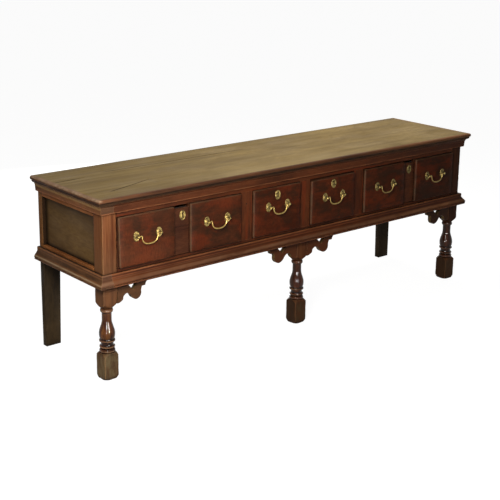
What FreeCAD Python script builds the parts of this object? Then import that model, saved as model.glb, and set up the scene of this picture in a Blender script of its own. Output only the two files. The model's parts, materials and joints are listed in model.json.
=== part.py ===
import FreeCAD, Part
import math
import os

Vector = FreeCAD.Vector

# Dresser base: a pegged oak carcase on three turned front legs and two plank back legs,
# with one row of four drawers, wide, narrow, narrow, wide. Millimetres, +Z up.
# The origin is on the floor under the middle of the whole piece. +X runs along its
# length, and the drawers face -Y.

# Carcase in plan
carcase_length = 2244.0
carcase_depth = 520.0
post_side = 70.0
back_post_width = 85.0
back_foot_width = 75.0
back_post_depth = 32.0
stile_width = 64.0
rail_thickness = 30.0
back_rail_thickness = 28.0
centre_leg_offset = -7.0

# Heights, stacked from the floor up to the top surface
foot_height = 117.0
low_ring_height = 16.0
foot_cone_height = 1.5
middle_ring_height = 5.0
reel_height = 7.5
high_ring_height = 6.0
vase_height = 84.0
neck_height = 33.0
collar_height = 18.0
shoulder_height = 27.0
leg_block_height = 74.0
bottom_rail_height = 70.0
opening_height = 225.0
top_rail_height = 64.0
top_thickness = 27.0

# Turning of the front legs
foot_chamfer = 14.0
foot_wear = 9.0
foot_wear_height = 24.0
ring_groove_diameter = 54.0
low_ring_diameter = 68.5
low_ring_root_diameter = 58.0
middle_ring_diameter = 66.6
high_ring_diameter = 68.4
ring_crown = 0.5
vase_foot_diameter = 58.0
vase_diameter = 69.4
vase_belly_height = 22.0
neck_diameter = 42.5
collar_fillet_diameter = 46.0
collar_diameter = 56.0
corner_room = 1.0

# Frame joints
tenon_thickness = 10.0
tenon_shoulder = 10.0
post_tenon_length = 40.0
back_post_tenon_length = 20.0
back_rail_tenon_length = 35.0
stile_tenon_length = 20.0
leg_tenon_length = 30.0
joint_clearance = 0.2
peg_diameter = 8.0
peg_length = 26.0
peg_clearance = 0.1
stile_plug_drop = 56.0

# Panels held in grooves
panel_recess = 18.0
panel_thickness = 8.0
back_board_thickness = 10.0
groove_depth = 8.0
panel_room = 1.0

# Top boards and their worked edge
top_overhang = 37.0
back_plank_width = 137.0
lower_bead_height = 8.0
lower_bead_setback = 7.0
bead_depth = 3.0
nose_height = 10.5
nose_run = 9.0

# Cornice under the top
cornice_height = 44.0
cornice_projection = 25.0
cornice_ovolo = 2.5
cornice_foot_projection = 11.5
cornice_band_projection = 13.5
cornice_band_height = 30.0
cornice_cavetto_foot = 1.5
cornice_fillet = 2.5
cornice_patch_length = 50.0

# Waist moulding under the drawers
waist_height = 58.0
waist_gap = 1.0
waist_projection = 30.0
waist_nose_height = 24.0
waist_nose_setback = 4.0
waist_hollow_depth = 1.5
waist_fascia_projection = 13.0
waist_fascia_height = 19.0
waist_top_round = 4.0
waist_patch_length = 35.0

# Pierced brackets beside the front legs
bracket_thickness = 22.0
bracket_setback = 2.0
bracket_length = 172.0
left_bracket_length = 150.0
bracket_drop = 82.0

# Drawer running gear
runner_width = 28.0
runner_thickness = 24.0
guide_height = 26.0
kicker_thickness = 20.0

# Drawers
fields_per_drawer = (2, 1, 1, 2)
handle_drops = (91.0, 85.0, 95.0, 95.0)
lock_offsets = (8.0, -3.0, -3.0, 5.0)
strip_width = 84.0
strip_setback = 4.0
strip_head_drop = 12.0
field_thickness = 17.0
field_round = 6.0
side_gap = 3.0
top_gap = 4.0
bottom_gap = 2.0
running_clearance = 0.4
drawer_back_room = 24.0
front_thickness = 20.0
front_lap = 8.0
side_thickness = 14.0
side_drop = 6.0
back_thickness = 12.0
back_drop = 9.0
bottom_thickness = 10.0
bottom_rise = 8.0
bottom_groove_depth = 6.0

# Drop handles
handle_spacing = 115.0
pivot_standoff = 17.0
ball_radius = 7.0
pillar_radius = 4.5
pillar_foot_radius = 7.0
shank_radius = 3.0
shank_hole_room = 0.3
nut_radius = 8.0
nut_thickness = 4.0
shank_stub = 2.0
bail_pin_radius = 2.0
bail_pin_clearance = 0.05
bail_shoulder_gap = 0.4
bail_bend = 4.2
bail_turn = math.pi / 4
bail_drop = 36.0
bail_end_radius = 2.6
bail_middle_radius = 3.8
bail_squareness = 2.5
bail_bowl_steps = 16

# Brass plates
rosette_width = 31.0
rosette_height = 46.0
rosette_thickness = 1.6
rosette_lobes = 14
rosette_lobe_depth = 1.4
rosette_boss_radius = 11.0
rosette_boss_height = 2.0
escutcheon_width = 31.0
escutcheon_height = 44.0
escutcheon_thickness = 1.6
escutcheon_chamfer = 0.7

# Locks
wide_keyhole_drop = 45.0
narrow_keyhole_drop = 34.0
keyhole_rise = 8.0
keyhole_radius = 5.0
keyhole_slot_width = 6.0
keyhole_slot_length = 20.0
lock_width = 60.0
lock_height = 58.0
lock_thickness = 11.0
lock_clearance = 0.2
bolt_width = 24.0
bolt_thickness = 6.0
bolt_height = 40.0
bolt_clearance = 0.2
bolt_travel = 10.0
bolt_mortise_room = 1.5

# Levels worked out from the heights
low_ring_head = foot_height + low_ring_height
low_groove = low_ring_head + foot_cone_height
middle_ring_cove = (middle_ring_diameter - ring_groove_diameter) / 2
middle_ring_foot = low_groove + middle_ring_cove
middle_ring_head = middle_ring_foot + middle_ring_height
reel_foot = middle_ring_head + middle_ring_cove
reel_head = reel_foot + reel_height
high_ring_foot = reel_head + (high_ring_diameter - ring_groove_diameter) / 2
high_ring_head = high_ring_foot + high_ring_height
vase_foot = high_ring_head + (high_ring_diameter - vase_foot_diameter) / 2
neck_foot = vase_foot + vase_height
collar_foot = neck_foot + neck_height
shoulder_foot = collar_foot + collar_height
block_foot = shoulder_foot + shoulder_height
rail_foot = block_foot + leg_block_height
opening_foot = rail_foot + bottom_rail_height
opening_head = opening_foot + opening_height
top_underside = opening_head + top_rail_height
top_surface = top_underside + top_thickness
front_foot = opening_foot + bottom_gap
front_head = opening_head - top_gap

# Plan lines worked out from the plan sizes
field_projection = field_thickness - strip_setback
front_reach = max(top_overhang, field_projection + pivot_standoff + ball_radius)
front_face = (front_reach - carcase_depth) / 2
back_face = front_face + carcase_depth
end_face = carcase_length / 2
front_post_inside = end_face - post_side
back_post_inside = end_face - back_post_width
front_post_back = front_face + post_side
back_post_front = back_face - back_post_depth
front_rail_back = front_face + rail_thickness
back_rail_front = back_face - back_rail_thickness
front_rail_middle = front_face + rail_thickness / 2
back_rail_middle = back_face - back_rail_thickness / 2
end_rail_middle = end_face - rail_thickness / 2
drawer_count = len(fields_per_drawer)
field_count = sum(fields_per_drawer)
strips_total = (field_count - drawer_count) * strip_width
gaps_total = 2 * drawer_count * side_gap
stiles_total = (drawer_count - 1) * stile_width
field_width = (2 * front_post_inside - stiles_total - strips_total - gaps_total) / field_count
strip_face = front_face + strip_setback
field_face = strip_face - field_thickness
front_back = strip_face + front_thickness
drawer_depth = back_rail_front - drawer_back_room - strip_face
pivot_line = field_face - pivot_standoff
bail_shoulder = handle_spacing / 2 - ball_radius - bail_shoulder_gap
bail_half = bail_shoulder - bail_bend * (1 + 2 * math.sin(bail_turn))
bail_head = bail_bend * (1 - 2 * math.cos(bail_turn))
tenon_half = tenon_thickness / 2


def block(bounds):
    """A squared board between low and high limits along each axis."""
    x0, x1, y0, y1, z0, z1 = bounds
    return Part.makeBox(x1 - x0, y1 - y0, z1 - z0, Vector(x0, y0, z0))


def grown(bounds, room):
    """The same limits with some room added all round."""
    x0, x1, y0, y1, z0, z1 = bounds
    return (x0 - room, x1 + room, y0 - room, y1 + room, z0 - room, z1 + room)


def mirrored(shape):
    """The right-hand copy of a left-hand piece."""
    return shape.mirror(Vector(0, 0, 0), Vector(1, 0, 0))


def rod(radius, start, along):
    """A round rod from a start point along a vector."""
    return Part.makeCylinder(radius, along.Length, start, along)


def arc(start, middle, end):
    return Part.Arc(start, middle, end).toShape()


def line(start, end):
    return Part.makeLine(start, end)


def opening_spans():
    """Left edge, right edge, number of fields, handle level and lock middle of each drawer opening."""
    spans = []
    left = -front_post_inside
    for fields, handle_drop, lock_offset in zip(fields_per_drawer, handle_drops, lock_offsets):
        width = fields * field_width + (fields - 1) * strip_width + 2 * side_gap
        lock_middle = left + width / 2 + lock_offset
        spans.append((left, left + width, fields, front_head - handle_drop, lock_middle))
        left += width + stile_width
    return spans


def stile_centres():
    """Middle of each stile between two neighbouring openings."""
    spans = opening_spans()
    return [(a[1] + b[0]) / 2 for a, b in zip(spans, spans[1:])]


def field_centres(span):
    """Middle of each raised field on one drawer."""
    first = span[0] + side_gap + field_width / 2
    return [first + number * (field_width + strip_width) for number in range(span[2])]


def span_middle(span):
    return (span[0] + span[1]) / 2


def keyhole_level(span):
    """Middle of the keyhole, which sits lower on the bare strip than on a single field."""
    drop = wide_keyhole_drop if span[2] > 1 else narrow_keyhole_drop
    return front_head - drop


def lock_head(span):
    """Top of a front at its lock: the bare strip of a wide drawer stops short of the fields."""
    return front_head - strip_head_drop if span[2] > 1 else front_head


def at(radius, height):
    """Point of the turning's half outline."""
    return Vector(radius, 0, height)


def bead(root, crown, foot, head):
    """One bead of the turning, as an arc standing out from its root."""
    return arc(at(root, foot), at(crown, (foot + head) / 2), at(root, head))


def cove(groove, groove_level, edge, edge_level):
    """One quarter hollow of the turning, from a groove out to the edge of a ring."""
    share = math.sqrt(0.5)
    middle = at(edge - (edge - groove) * share, groove_level + (edge_level - groove_level) * share)
    return arc(at(groove, groove_level), middle, at(edge, edge_level))


def leg_outline(top):
    """Half outline of a turned leg, with square blocks left wider than their corners."""
    corner = post_side / math.sqrt(2) + corner_room
    root = low_ring_root_diameter / 2
    groove = ring_groove_diameter / 2
    middle_ring = middle_ring_diameter / 2
    high_ring = high_ring_diameter / 2
    vase_start = vase_foot_diameter / 2
    neck = neck_diameter / 2
    fillet = collar_fillet_diameter / 2
    belly = at(vase_diameter / 2, vase_foot + vase_belly_height)
    waist = at((vase_diameter + neck_diameter) / 4, (belly.z + neck_foot) / 2)
    vase = Part.BSplineCurve()
    vase.interpolate(
        Points=[at(vase_start, vase_foot), belly, waist, at(neck, neck_foot)],
        InitialTangent=Vector(1, 0, 1),
        FinalTangent=Vector(0, 0, 1),
    )
    edges = [
        line(at(0, 0), at(corner - foot_wear, 0)),
        line(at(corner - foot_wear, 0), at(corner, foot_wear_height)),
        line(at(corner, foot_wear_height), at(corner, foot_height - foot_chamfer)),
        line(at(corner, foot_height - foot_chamfer), at(low_ring_diameter / 2, foot_height)),
        line(at(low_ring_diameter / 2, foot_height), at(root, foot_height)),
        bead(root, low_ring_diameter / 2, foot_height, low_ring_head),
        line(at(root, low_ring_head), at(groove, low_groove)),
        cove(groove, low_groove, middle_ring, middle_ring_foot),
        bead(middle_ring, middle_ring + ring_crown, middle_ring_foot, middle_ring_head),
        cove(groove, reel_foot, middle_ring, middle_ring_head),
        line(at(groove, reel_foot), at(groove, reel_head)),
        cove(groove, reel_head, high_ring, high_ring_foot),
        bead(high_ring, high_ring + ring_crown, high_ring_foot, high_ring_head),
        cove(vase_start, vase_foot, high_ring, high_ring_head),
        vase.toShape(),
        line(at(neck, neck_foot), at(neck, collar_foot)),
        line(at(neck, collar_foot), at(fillet, collar_foot)),
        bead(fillet, collar_diameter / 2, collar_foot, shoulder_foot),
        line(at(fillet, shoulder_foot), at(corner, block_foot)),
        line(at(corner, block_foot), at(corner, top)),
        line(at(corner, top), at(0, top)),
        line(at(0, top), at(0, 0)),
    ]
    return Part.Wire(edges)


def turned_leg(top):
    """Square stock turned between its blocks, standing on the origin."""
    spun = Part.Face(leg_outline(top)).revolve(Vector(0, 0, 0), Vector(0, 0, 1), 360)
    half = post_side / 2
    return spun.common(block((-half, half, -half, half, 0, top)))


def front_rail_tenons(foot, height):
    """Tenons at both ends of a front rail, as one bar through the rail."""
    reach = front_post_inside + post_tenon_length
    low = foot + tenon_shoulder
    high = foot + height - tenon_shoulder
    return (-reach, reach, front_rail_middle - tenon_half, front_rail_middle + tenon_half, low, high)


def back_rail_tenons(foot, height):
    reach = back_post_inside + back_rail_tenon_length
    low = foot + tenon_shoulder
    high = foot + height - tenon_shoulder
    return (-reach, reach, back_rail_middle - tenon_half, back_rail_middle + tenon_half, low, high)


def end_rail_tenons(foot, height):
    """Tenons of a left end rail, into the front post and the back post."""
    front = front_post_back - post_tenon_length
    back = back_post_front + back_post_tenon_length
    low = foot + tenon_shoulder
    high = foot + height - tenon_shoulder
    return (-end_rail_middle - tenon_half, -end_rail_middle + tenon_half, front, back, low, high)


def stile_tenons(centre):
    half = stile_width / 2 - tenon_shoulder
    low = opening_foot - stile_tenon_length
    high = opening_head + stile_tenon_length
    front = front_rail_middle - tenon_half
    return (centre - half, centre + half, front, front + tenon_thickness, low, high)


def centre_leg_tenon():
    half = post_side / 2 - tenon_shoulder
    front = front_rail_middle - tenon_half
    left = centre_leg_offset - half
    return (left, left + 2 * half, front, front + tenon_thickness, rail_foot, rail_foot + leg_tenon_length)


def rail_levels():
    """Foot and height of the bottom and top rails, alike on front, ends and back."""
    return [(rail_foot, bottom_rail_height), (opening_head, top_rail_height)]


def end_panel_opening(face_room):
    """Daylight opening of the left end frame, as thick as its panel."""
    outside = -end_face + panel_recess - face_room
    inside = outside + panel_thickness + 2 * face_room
    return (outside, inside, front_post_back, back_post_front, opening_foot, opening_head)


def end_panel_bounds():
    x0, x1, y0, y1, z0, z1 = end_panel_opening(0)
    tongue = groove_depth - panel_room
    return (x0, x1, y0 - tongue, y1 + tongue, z0 - tongue, z1 + tongue)


def end_panel_groove():
    x0, x1, y0, y1, z0, z1 = end_panel_opening(joint_clearance)
    return (x0, x1, y0 - groove_depth, y1 + groove_depth, z0 - groove_depth, z1 + groove_depth)


def back_board_bounds():
    half = back_board_thickness / 2
    tongue = groove_depth - panel_room
    reach = back_post_inside + tongue
    low = opening_foot - tongue
    high = opening_head + tongue
    return (-reach, reach, back_rail_middle - half, back_rail_middle + half, low, high)


def back_board_groove():
    half = back_board_thickness / 2 + joint_clearance
    reach = back_post_inside + groove_depth
    low = opening_foot - groove_depth
    high = opening_head + groove_depth
    return (-reach, reach, back_rail_middle - half, back_rail_middle + half, low, high)


def peg_places():
    """Start point and direction of every peg that locks a tenon, and of one old plug."""
    inward = Vector(0, peg_length, 0)
    outward = Vector(0, -peg_length, 0)
    front_x = front_post_inside + post_tenon_length / 2
    back_x = back_post_inside + back_rail_tenon_length / 2
    front_depth = front_post_back - post_tenon_length / 2
    back_depth = back_post_front + back_post_tenon_length / 2
    places = []
    for foot, height in rail_levels():
        level = foot + height / 2
        for side in (-1, 1):
            across = Vector(-side * peg_length, 0, 0)
            places.append((Vector(side * front_x, front_face, level), inward))
            places.append((Vector(side * back_x, back_face, level), outward))
            for depth in (front_depth, back_depth):
                places.append((Vector(side * end_face, depth, level), across))
    places.append((Vector(centre_leg_offset, front_face, rail_foot + leg_tenon_length / 2), inward))
    places.append((Vector(stile_centres()[0], front_face, opening_head - stile_plug_drop), inward))
    return places


def pegs(room):
    return [rod(peg_diameter / 2 + room, start, along) for start, along in peg_places()]


def pegged(shape):
    """A frame piece bored for the pegs that pass through it."""
    return shape.cut(pegs(peg_clearance))


def front_post():
    """Left front post: corner stile and turned leg in one length."""
    post = turned_leg(top_underside)
    half = post_side / 2
    post.translate(Vector(-end_face + half, front_face + half, 0))
    cuts = [block(end_panel_groove())]
    for foot, height in rail_levels():
        cuts.append(block(grown(front_rail_tenons(foot, height), joint_clearance)))
        cuts.append(block(grown(end_rail_tenons(foot, height), joint_clearance)))
    return pegged(post.cut(cuts))


def centre_leg():
    leg = turned_leg(rail_foot)
    leg.translate(Vector(centre_leg_offset, front_face + post_side / 2, 0))
    return pegged(leg.fuse(block(centre_leg_tenon())))


def back_plank():
    """Left back post before its joints are cut: a plank, narrowed on the inside below the rail."""
    corners = [
        Vector(-end_face, back_post_front, 0),
        Vector(-end_face + back_foot_width, back_post_front, 0),
        Vector(-back_post_inside, back_post_front, rail_foot),
        Vector(-back_post_inside, back_post_front, top_underside),
        Vector(-end_face, back_post_front, top_underside),
    ]
    face = Part.Face(Part.makePolygon(corners + corners[:1]))
    return face.extrude(Vector(0, back_post_depth, 0))


def back_post():
    """Left back post, from the floor to the top, the lower part as the back leg."""
    post = back_plank()
    cuts = [block(end_panel_groove()), block(back_board_groove())]
    for foot, height in rail_levels():
        cuts.append(block(grown(back_rail_tenons(foot, height), joint_clearance)))
        cuts.append(block(grown(end_rail_tenons(foot, height), joint_clearance)))
    return pegged(post.cut(cuts))


def front_rail(foot, height):
    body = block((-front_post_inside, front_post_inside, front_face, front_rail_back, foot, foot + height))
    rail = body.fuse(block(front_rail_tenons(foot, height)))
    cuts = [block(grown(stile_tenons(centre), joint_clearance)) for centre in stile_centres()]
    return pegged(rail.cut(cuts).removeSplitter())


def front_bottom_rail():
    rail = front_rail(rail_foot, bottom_rail_height)
    return rail.cut(block(grown(centre_leg_tenon(), joint_clearance)))


def front_top_rail():
    """Top rail with a mortise over each lock for its bolt."""
    rail = front_rail(opening_head, top_rail_height)
    return rail.cut([block(bolt_mortise(span)) for span in opening_spans()])


def front_stile(centre):
    half = stile_width / 2
    body = block((centre - half, centre + half, front_face, front_rail_back, opening_foot, opening_head))
    return pegged(body.fuse(block(stile_tenons(centre))).removeSplitter())


def end_rail(foot, height):
    inside = -end_face + rail_thickness
    body = block((-end_face, inside, front_post_back, back_post_front, foot, foot + height))
    rail = body.fuse(block(end_rail_tenons(foot, height))).removeSplitter()
    return pegged(rail.cut(block(end_panel_groove())))


def back_rail(foot, height):
    body = block((-back_post_inside, back_post_inside, back_rail_front, back_face, foot, foot + height))
    rail = body.fuse(block(back_rail_tenons(foot, height))).removeSplitter()
    return pegged(rail.cut(block(back_board_groove())))


def top_edge(place, inner):
    """Section of the top: a rounded nose over a small bead, running back to an inner line."""
    bead_line = top_overhang - lower_bead_setback
    bead_root = bead_line - bead_depth
    bead_top = top_underside + lower_bead_height
    nose_level = top_surface - nose_height
    low_corner = place(inner, top_underside)
    bead_start = place(bead_root, top_underside)
    bead_end = place(bead_root, bead_top)
    nose_start = place(bead_line, bead_top)
    nose_end = place(top_overhang - nose_run, top_surface)
    high_corner = place(inner, top_surface)
    return Part.Wire([
        line(low_corner, bead_start),
        arc(bead_start, place(bead_line, top_underside + lower_bead_height / 2), bead_end),
        line(bead_end, nose_start),
        arc(nose_start, place(top_overhang, nose_level), nose_end),
        line(nose_end, high_corner),
        line(high_corner, low_corner),
    ])


def worked_top():
    """Both top boards in one, with the edge worked along the front and the two ends."""
    length = 2 * (end_face + top_overhang)
    depth = carcase_depth + top_overhang
    left = -end_face - top_overhang
    front = front_face - top_overhang
    front_section = top_edge(lambda p, z: Vector(left, front_face - p, z), -carcase_depth)
    end_section = top_edge(lambda p, z: Vector(-end_face - p, front, z), -length)
    front_slab = Part.Face(front_section).extrude(Vector(length, 0, 0))
    left_slab = Part.Face(end_section).extrude(Vector(0, depth, 0))
    return front_slab.common(left_slab).common(mirrored(left_slab))


def top_plank(front, back):
    """The part of the top between two lines along its length."""
    reach = end_face + top_overhang
    return worked_top().common(block((-reach, reach, front, back, top_underside, top_surface)))


def cornice_section(place):
    """A tall, slightly leaning band with an eased foot, then a hollow up to the top boards."""
    foot = top_underside - cornice_height
    band_foot = foot + cornice_ovolo
    band_head = foot + cornice_band_height
    hollow_root = cornice_band_projection + cornice_cavetto_foot
    hollow_head = top_underside - cornice_fillet
    ovolo_turn = math.sin(math.pi / 4)
    ovolo_root = cornice_foot_projection - cornice_ovolo
    ovolo_crown = place(ovolo_root + cornice_ovolo * ovolo_turn, band_foot - cornice_ovolo * ovolo_turn)
    hollow_run = cornice_projection - hollow_root
    hollow_rise = hollow_head - band_head
    hollow_middle = place(
        cornice_projection - hollow_run * ovolo_turn,
        band_head + hollow_rise * ovolo_turn,
    )
    return Part.Wire([
        line(place(0, foot), place(ovolo_root, foot)),
        arc(place(ovolo_root, foot), ovolo_crown, place(cornice_foot_projection, band_foot)),
        line(place(cornice_foot_projection, band_foot), place(cornice_band_projection, band_head)),
        line(place(cornice_band_projection, band_head), place(hollow_root, band_head)),
        arc(place(hollow_root, band_head), hollow_middle, place(cornice_projection, hollow_head)),
        line(place(cornice_projection, hollow_head), place(cornice_projection, top_underside)),
        line(place(cornice_projection, top_underside), place(0, top_underside)),
        line(place(0, top_underside), place(0, foot)),
    ])


def waist_section(place):
    """A flat fascia with a rounded head, a shallow hollow sloping out and a round nose at the foot."""
    foot = rail_foot + waist_gap
    nose_head = foot + waist_nose_height
    head = foot + waist_height
    fascia_foot = head - waist_fascia_height
    nose_root = waist_projection - waist_nose_setback
    nose_middle = place(waist_projection, foot + waist_nose_height / 2)
    round_turn = waist_top_round * (1 - math.sin(math.pi / 4))
    head_middle = place(waist_fascia_projection - round_turn, head - round_turn)
    hollow_run = nose_root - waist_fascia_projection
    hollow_rise = fascia_foot - nose_head
    hollow_slope = math.hypot(hollow_run, hollow_rise)
    hollow_middle = place(
        waist_fascia_projection + hollow_run / 2 - waist_hollow_depth * hollow_rise / hollow_slope,
        nose_head + hollow_rise / 2 - waist_hollow_depth * hollow_run / hollow_slope,
    )
    fascia_head = head - waist_top_round
    return Part.Wire([
        line(place(0, foot), place(nose_root, foot)),
        arc(place(nose_root, foot), nose_middle, place(nose_root, nose_head)),
        arc(place(nose_root, nose_head), hollow_middle, place(waist_fascia_projection, fascia_foot)),
        line(place(waist_fascia_projection, fascia_foot), place(waist_fascia_projection, fascia_head)),
        arc(
            place(waist_fascia_projection, fascia_head),
            head_middle,
            place(waist_fascia_projection - waist_top_round, head),
        ),
        line(place(waist_fascia_projection - waist_top_round, head), place(0, head)),
        line(place(0, head), place(0, foot)),
    ])


def plan_prism(points):
    """A tall prism over a plan outline, to cut mitres with."""
    corners = [Vector(x, y, 0) for x, y in points]
    return Part.Face(Part.makePolygon(corners + corners[:1])).extrude(Vector(0, 0, top_surface))


def front_moulding(section, reach, patch_length):
    """Front length mitred at both corners, in two pieces: a renewed left corner and the rest."""
    left = -end_face - reach
    length = 2 * (end_face + reach)
    bar = Part.Face(section(lambda p, z: Vector(left, front_face - p, z))).extrude(Vector(length, 0, 0))
    outer = front_face - reach
    joint = -end_face + patch_length
    corner = [(-end_face, front_face), (left, outer), (joint, outer), (joint, front_face)]
    rest = [(joint, front_face), (joint, outer), (-left, outer), (end_face, front_face)]
    return [bar.common(plan_prism(corner)), bar.common(plan_prism(rest))]


def end_moulding(section, reach):
    """Left end length, mitred at the front and cut square at the back."""
    outer = front_face - reach
    length = back_face - outer
    bar = Part.Face(section(lambda p, z: Vector(-end_face - p, outer, z))).extrude(Vector(0, length, 0))
    left = -end_face - reach
    plan = [(-end_face, front_face), (left, outer), (left, back_face), (-end_face, back_face)]
    return bar.common(plan_prism(plan))


def bracket(root, side, length):
    """Sawn and pierced bracket standing out sideways from a leg block.

    The outline is drawn in shares of the bracket's length and drop: a scrolled toe at the
    leg, a hollow, a hanging lobe and a straight foot that runs out under the rail.
    """
    face = front_face + bracket_setback

    def place(out, down):
        return Vector(root + side * out * length, face, rail_foot - down * bracket_drop)

    outline = Part.Wire([
        line(place(0, 0), place(0, 1)),
        arc(place(0, 1), place(0.1, 0.95), place(0.185, 0.84)),
        line(place(0.185, 0.84), place(0.195, 0.7)),
        arc(place(0.195, 0.7), place(0.24, 0.61), place(0.32, 0.55)),
        arc(place(0.32, 0.55), place(0.39, 0.61), place(0.455, 0.75)),
        arc(place(0.455, 0.75), place(0.53, 0.92), place(0.62, 1)),
        arc(place(0.62, 1), place(0.765, 0.87), place(0.795, 0.6)),
        arc(place(0.795, 0.6), place(0.805, 0.46), place(0.83, 0.35)),
        line(place(0.83, 0.35), place(0.94, 0.35)),
        arc(place(0.94, 0.35), place(0.965, 0.2), place(1, 0.12)),
        line(place(1, 0.12), place(1, 0)),
        line(place(1, 0), place(0, 0)),
    ])
    piercing = Part.Wire([
        line(place(0.35, 0.075), place(0.71, 0.075)),
        arc(place(0.71, 0.075), place(0.61, 0.28), place(0.53, 0.47)),
        arc(place(0.53, 0.47), place(0.445, 0.28), place(0.35, 0.075)),
    ])
    through = Vector(0, bracket_thickness, 0)
    return Part.Face(outline).extrude(through).cut(Part.Face(piercing).extrude(through))


def leg_brackets():
    """Four sawn by eye, the one at the left post the shortest."""
    half = post_side / 2
    return [
        bracket(-front_post_inside, 1, left_bracket_length),
        bracket(centre_leg_offset - half, -1, bracket_length),
        bracket(centre_leg_offset + half, 1, bracket_length),
        bracket(front_post_inside, -1, bracket_length),
    ]


def running_strips(low, high):
    """Bars from front to back rail at posts and stiles, the outer ones notched round the back posts."""
    edges = [(-front_post_inside, -front_post_inside + runner_width)]
    for centre in stile_centres():
        half = stile_width / 2 + runner_width
        edges.append((centre - half, centre + half))
    edges.append((front_post_inside - runner_width, front_post_inside))
    notches = [back_plank(), mirrored(back_plank())]
    bars = [block((*sides, front_rail_back, back_rail_front, low, high)) for sides in edges]
    return [bar.cut(notches) for bar in bars]


def drawer_guides():
    """Fillets that keep the drawers running straight, beside the end frames and behind the stiles."""
    head = opening_foot + guide_height
    inside = -end_face + rail_thickness
    low = opening_foot - runner_thickness
    outer = block((inside, -front_post_inside, front_post_back, back_post_front, low, head))
    guides = [outer, mirrored(outer)]
    half = stile_width / 2
    for centre in stile_centres():
        sides = (centre - half, centre + half)
        guides.append(block((*sides, front_rail_back, back_rail_front, opening_foot, head)))
    return guides


def handle_centres(span):
    """Where the handle posts pass through one drawer front."""
    half = handle_spacing / 2
    return [centre + side * half for centre in field_centres(span) for side in (-1, 1)]


def shank_holes(span):
    """Bores for the handle posts, right through field and front."""
    through = Vector(0, front_back - field_face, 0)
    radius = shank_radius + shank_hole_room
    return [rod(radius, Vector(x, field_face, span[3]), through) for x in handle_centres(span)]


def keyhole(span, start, end):
    """A keyhole along the drawer's depth, round above and slotted below."""
    middle = span[4]
    level = keyhole_level(span) + keyhole_rise
    half = keyhole_slot_width / 2
    eye = rod(keyhole_radius, Vector(middle, start, level), Vector(0, end - start, 0))
    slot = block((middle - half, middle + half, start, end, level - keyhole_slot_length, level))
    return eye.fuse(slot)


def lock_bounds(span):
    middle = span[4]
    half = lock_width / 2
    front = front_back - lock_thickness
    head = lock_head(span)
    return (middle - half, middle + half, front, front_back, head - lock_height, head)


def bolt_bounds(span):
    """The drawn bolt, level with the top of its lock."""
    middle = span[4]
    half = bolt_width / 2
    front = front_back - (lock_thickness + bolt_thickness) / 2
    head = lock_head(span)
    return (middle - half, middle + half, front, front + bolt_thickness, head - bolt_height, head)


def bolt_mortise(span):
    """Room in the top rail for the shot bolt."""
    sides = grown(bolt_bounds(span), bolt_mortise_room)[:4]
    return (*sides, opening_head, front_head + bolt_travel + bolt_mortise_room)


def side_bounds(span):
    """Left side board of a drawer box."""
    outside = span[0] + side_gap
    low = opening_foot + running_clearance
    front = strip_face + front_lap + joint_clearance
    high = front_head - side_drop
    return (outside, outside + side_thickness, front, strip_face + drawer_depth, low, high)


def bottom_groove(span, room):
    """Space of a drawer's bottom board, with room round its edges and faces."""
    inside = side_bounds(span)[1]
    back = strip_face + drawer_depth
    foot = opening_foot + running_clearance
    left = inside - bottom_groove_depth - room
    right = span[0] + span[1] - left
    low = foot + bottom_rise - room
    high = foot + bottom_rise + bottom_thickness + room
    return (left, right, front_back - bottom_groove_depth - room, back, low, high)


def drawer_front(span):
    left, right = span[:2]
    board = block((left + side_gap, right - side_gap, strip_face, front_back, front_foot, front_head))
    lap_face = strip_face + front_lap
    lap_end = left + side_gap + side_thickness + joint_clearance
    left_lap = (left, lap_end, lap_face, front_back, opening_foot, opening_head)
    right_lap = (left + right - lap_end, right, lap_face, front_back, opening_foot, opening_head)
    cuts = [block(left_lap), block(right_lap), block(bottom_groove(span, joint_clearance))]
    cuts.append(block(grown(lock_bounds(span), lock_clearance)))
    cuts.append(keyhole(span, strip_face, front_back))
    if span[2] > 1:
        half = strip_width / 2
        sides = (span_middle(span) - half, span_middle(span) + half)
        cuts.append(block((*sides, strip_face, front_back, lock_head(span), opening_head)))
    return board.cut(cuts + shank_holes(span))


def drawer_fields(span):
    """Raised slabs on one front, rounded over at their front arrises."""
    half = field_width / 2
    cuts = shank_holes(span)
    cuts.append(keyhole(span, field_face, strip_face))
    slabs = []
    for centre in field_centres(span):
        slab = block((centre - half, centre + half, field_face, strip_face, front_foot, front_head))
        arrises = [edge for edge in slab.Edges if edge.BoundBox.YMax < field_face + field_round]
        slabs.append(slab.makeFillet(field_round, arrises).cut(cuts))
    return slabs


def drawer_sides(span):
    groove = block(bottom_groove(span, joint_clearance))
    left = block(side_bounds(span)).cut(groove)
    middle = Vector(span_middle(span), 0, 0)
    return [left, left.mirror(middle, Vector(1, 0, 0))]


def drawer_back(span):
    """Back board between the sides, standing on the bottom."""
    left = side_bounds(span)[1]
    right = span[0] + span[1] - left
    back = strip_face + drawer_depth
    low = bottom_groove(span, 0)[5]
    return block((left, right, back - back_thickness, back, low, front_head - back_drop))


def drawer_bottom(span):
    return block(bottom_groove(span, 0))


def drawer_lock(span):
    """Iron lock case let into the back of the front, with a slot for its bolt."""
    bolt = bolt_bounds(span)
    slot = block(grown(bolt, bolt_clearance))
    case = block(lock_bounds(span)).cut(slot)
    return case.cut(keyhole(span, front_back - lock_thickness, bolt[2]))


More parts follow.
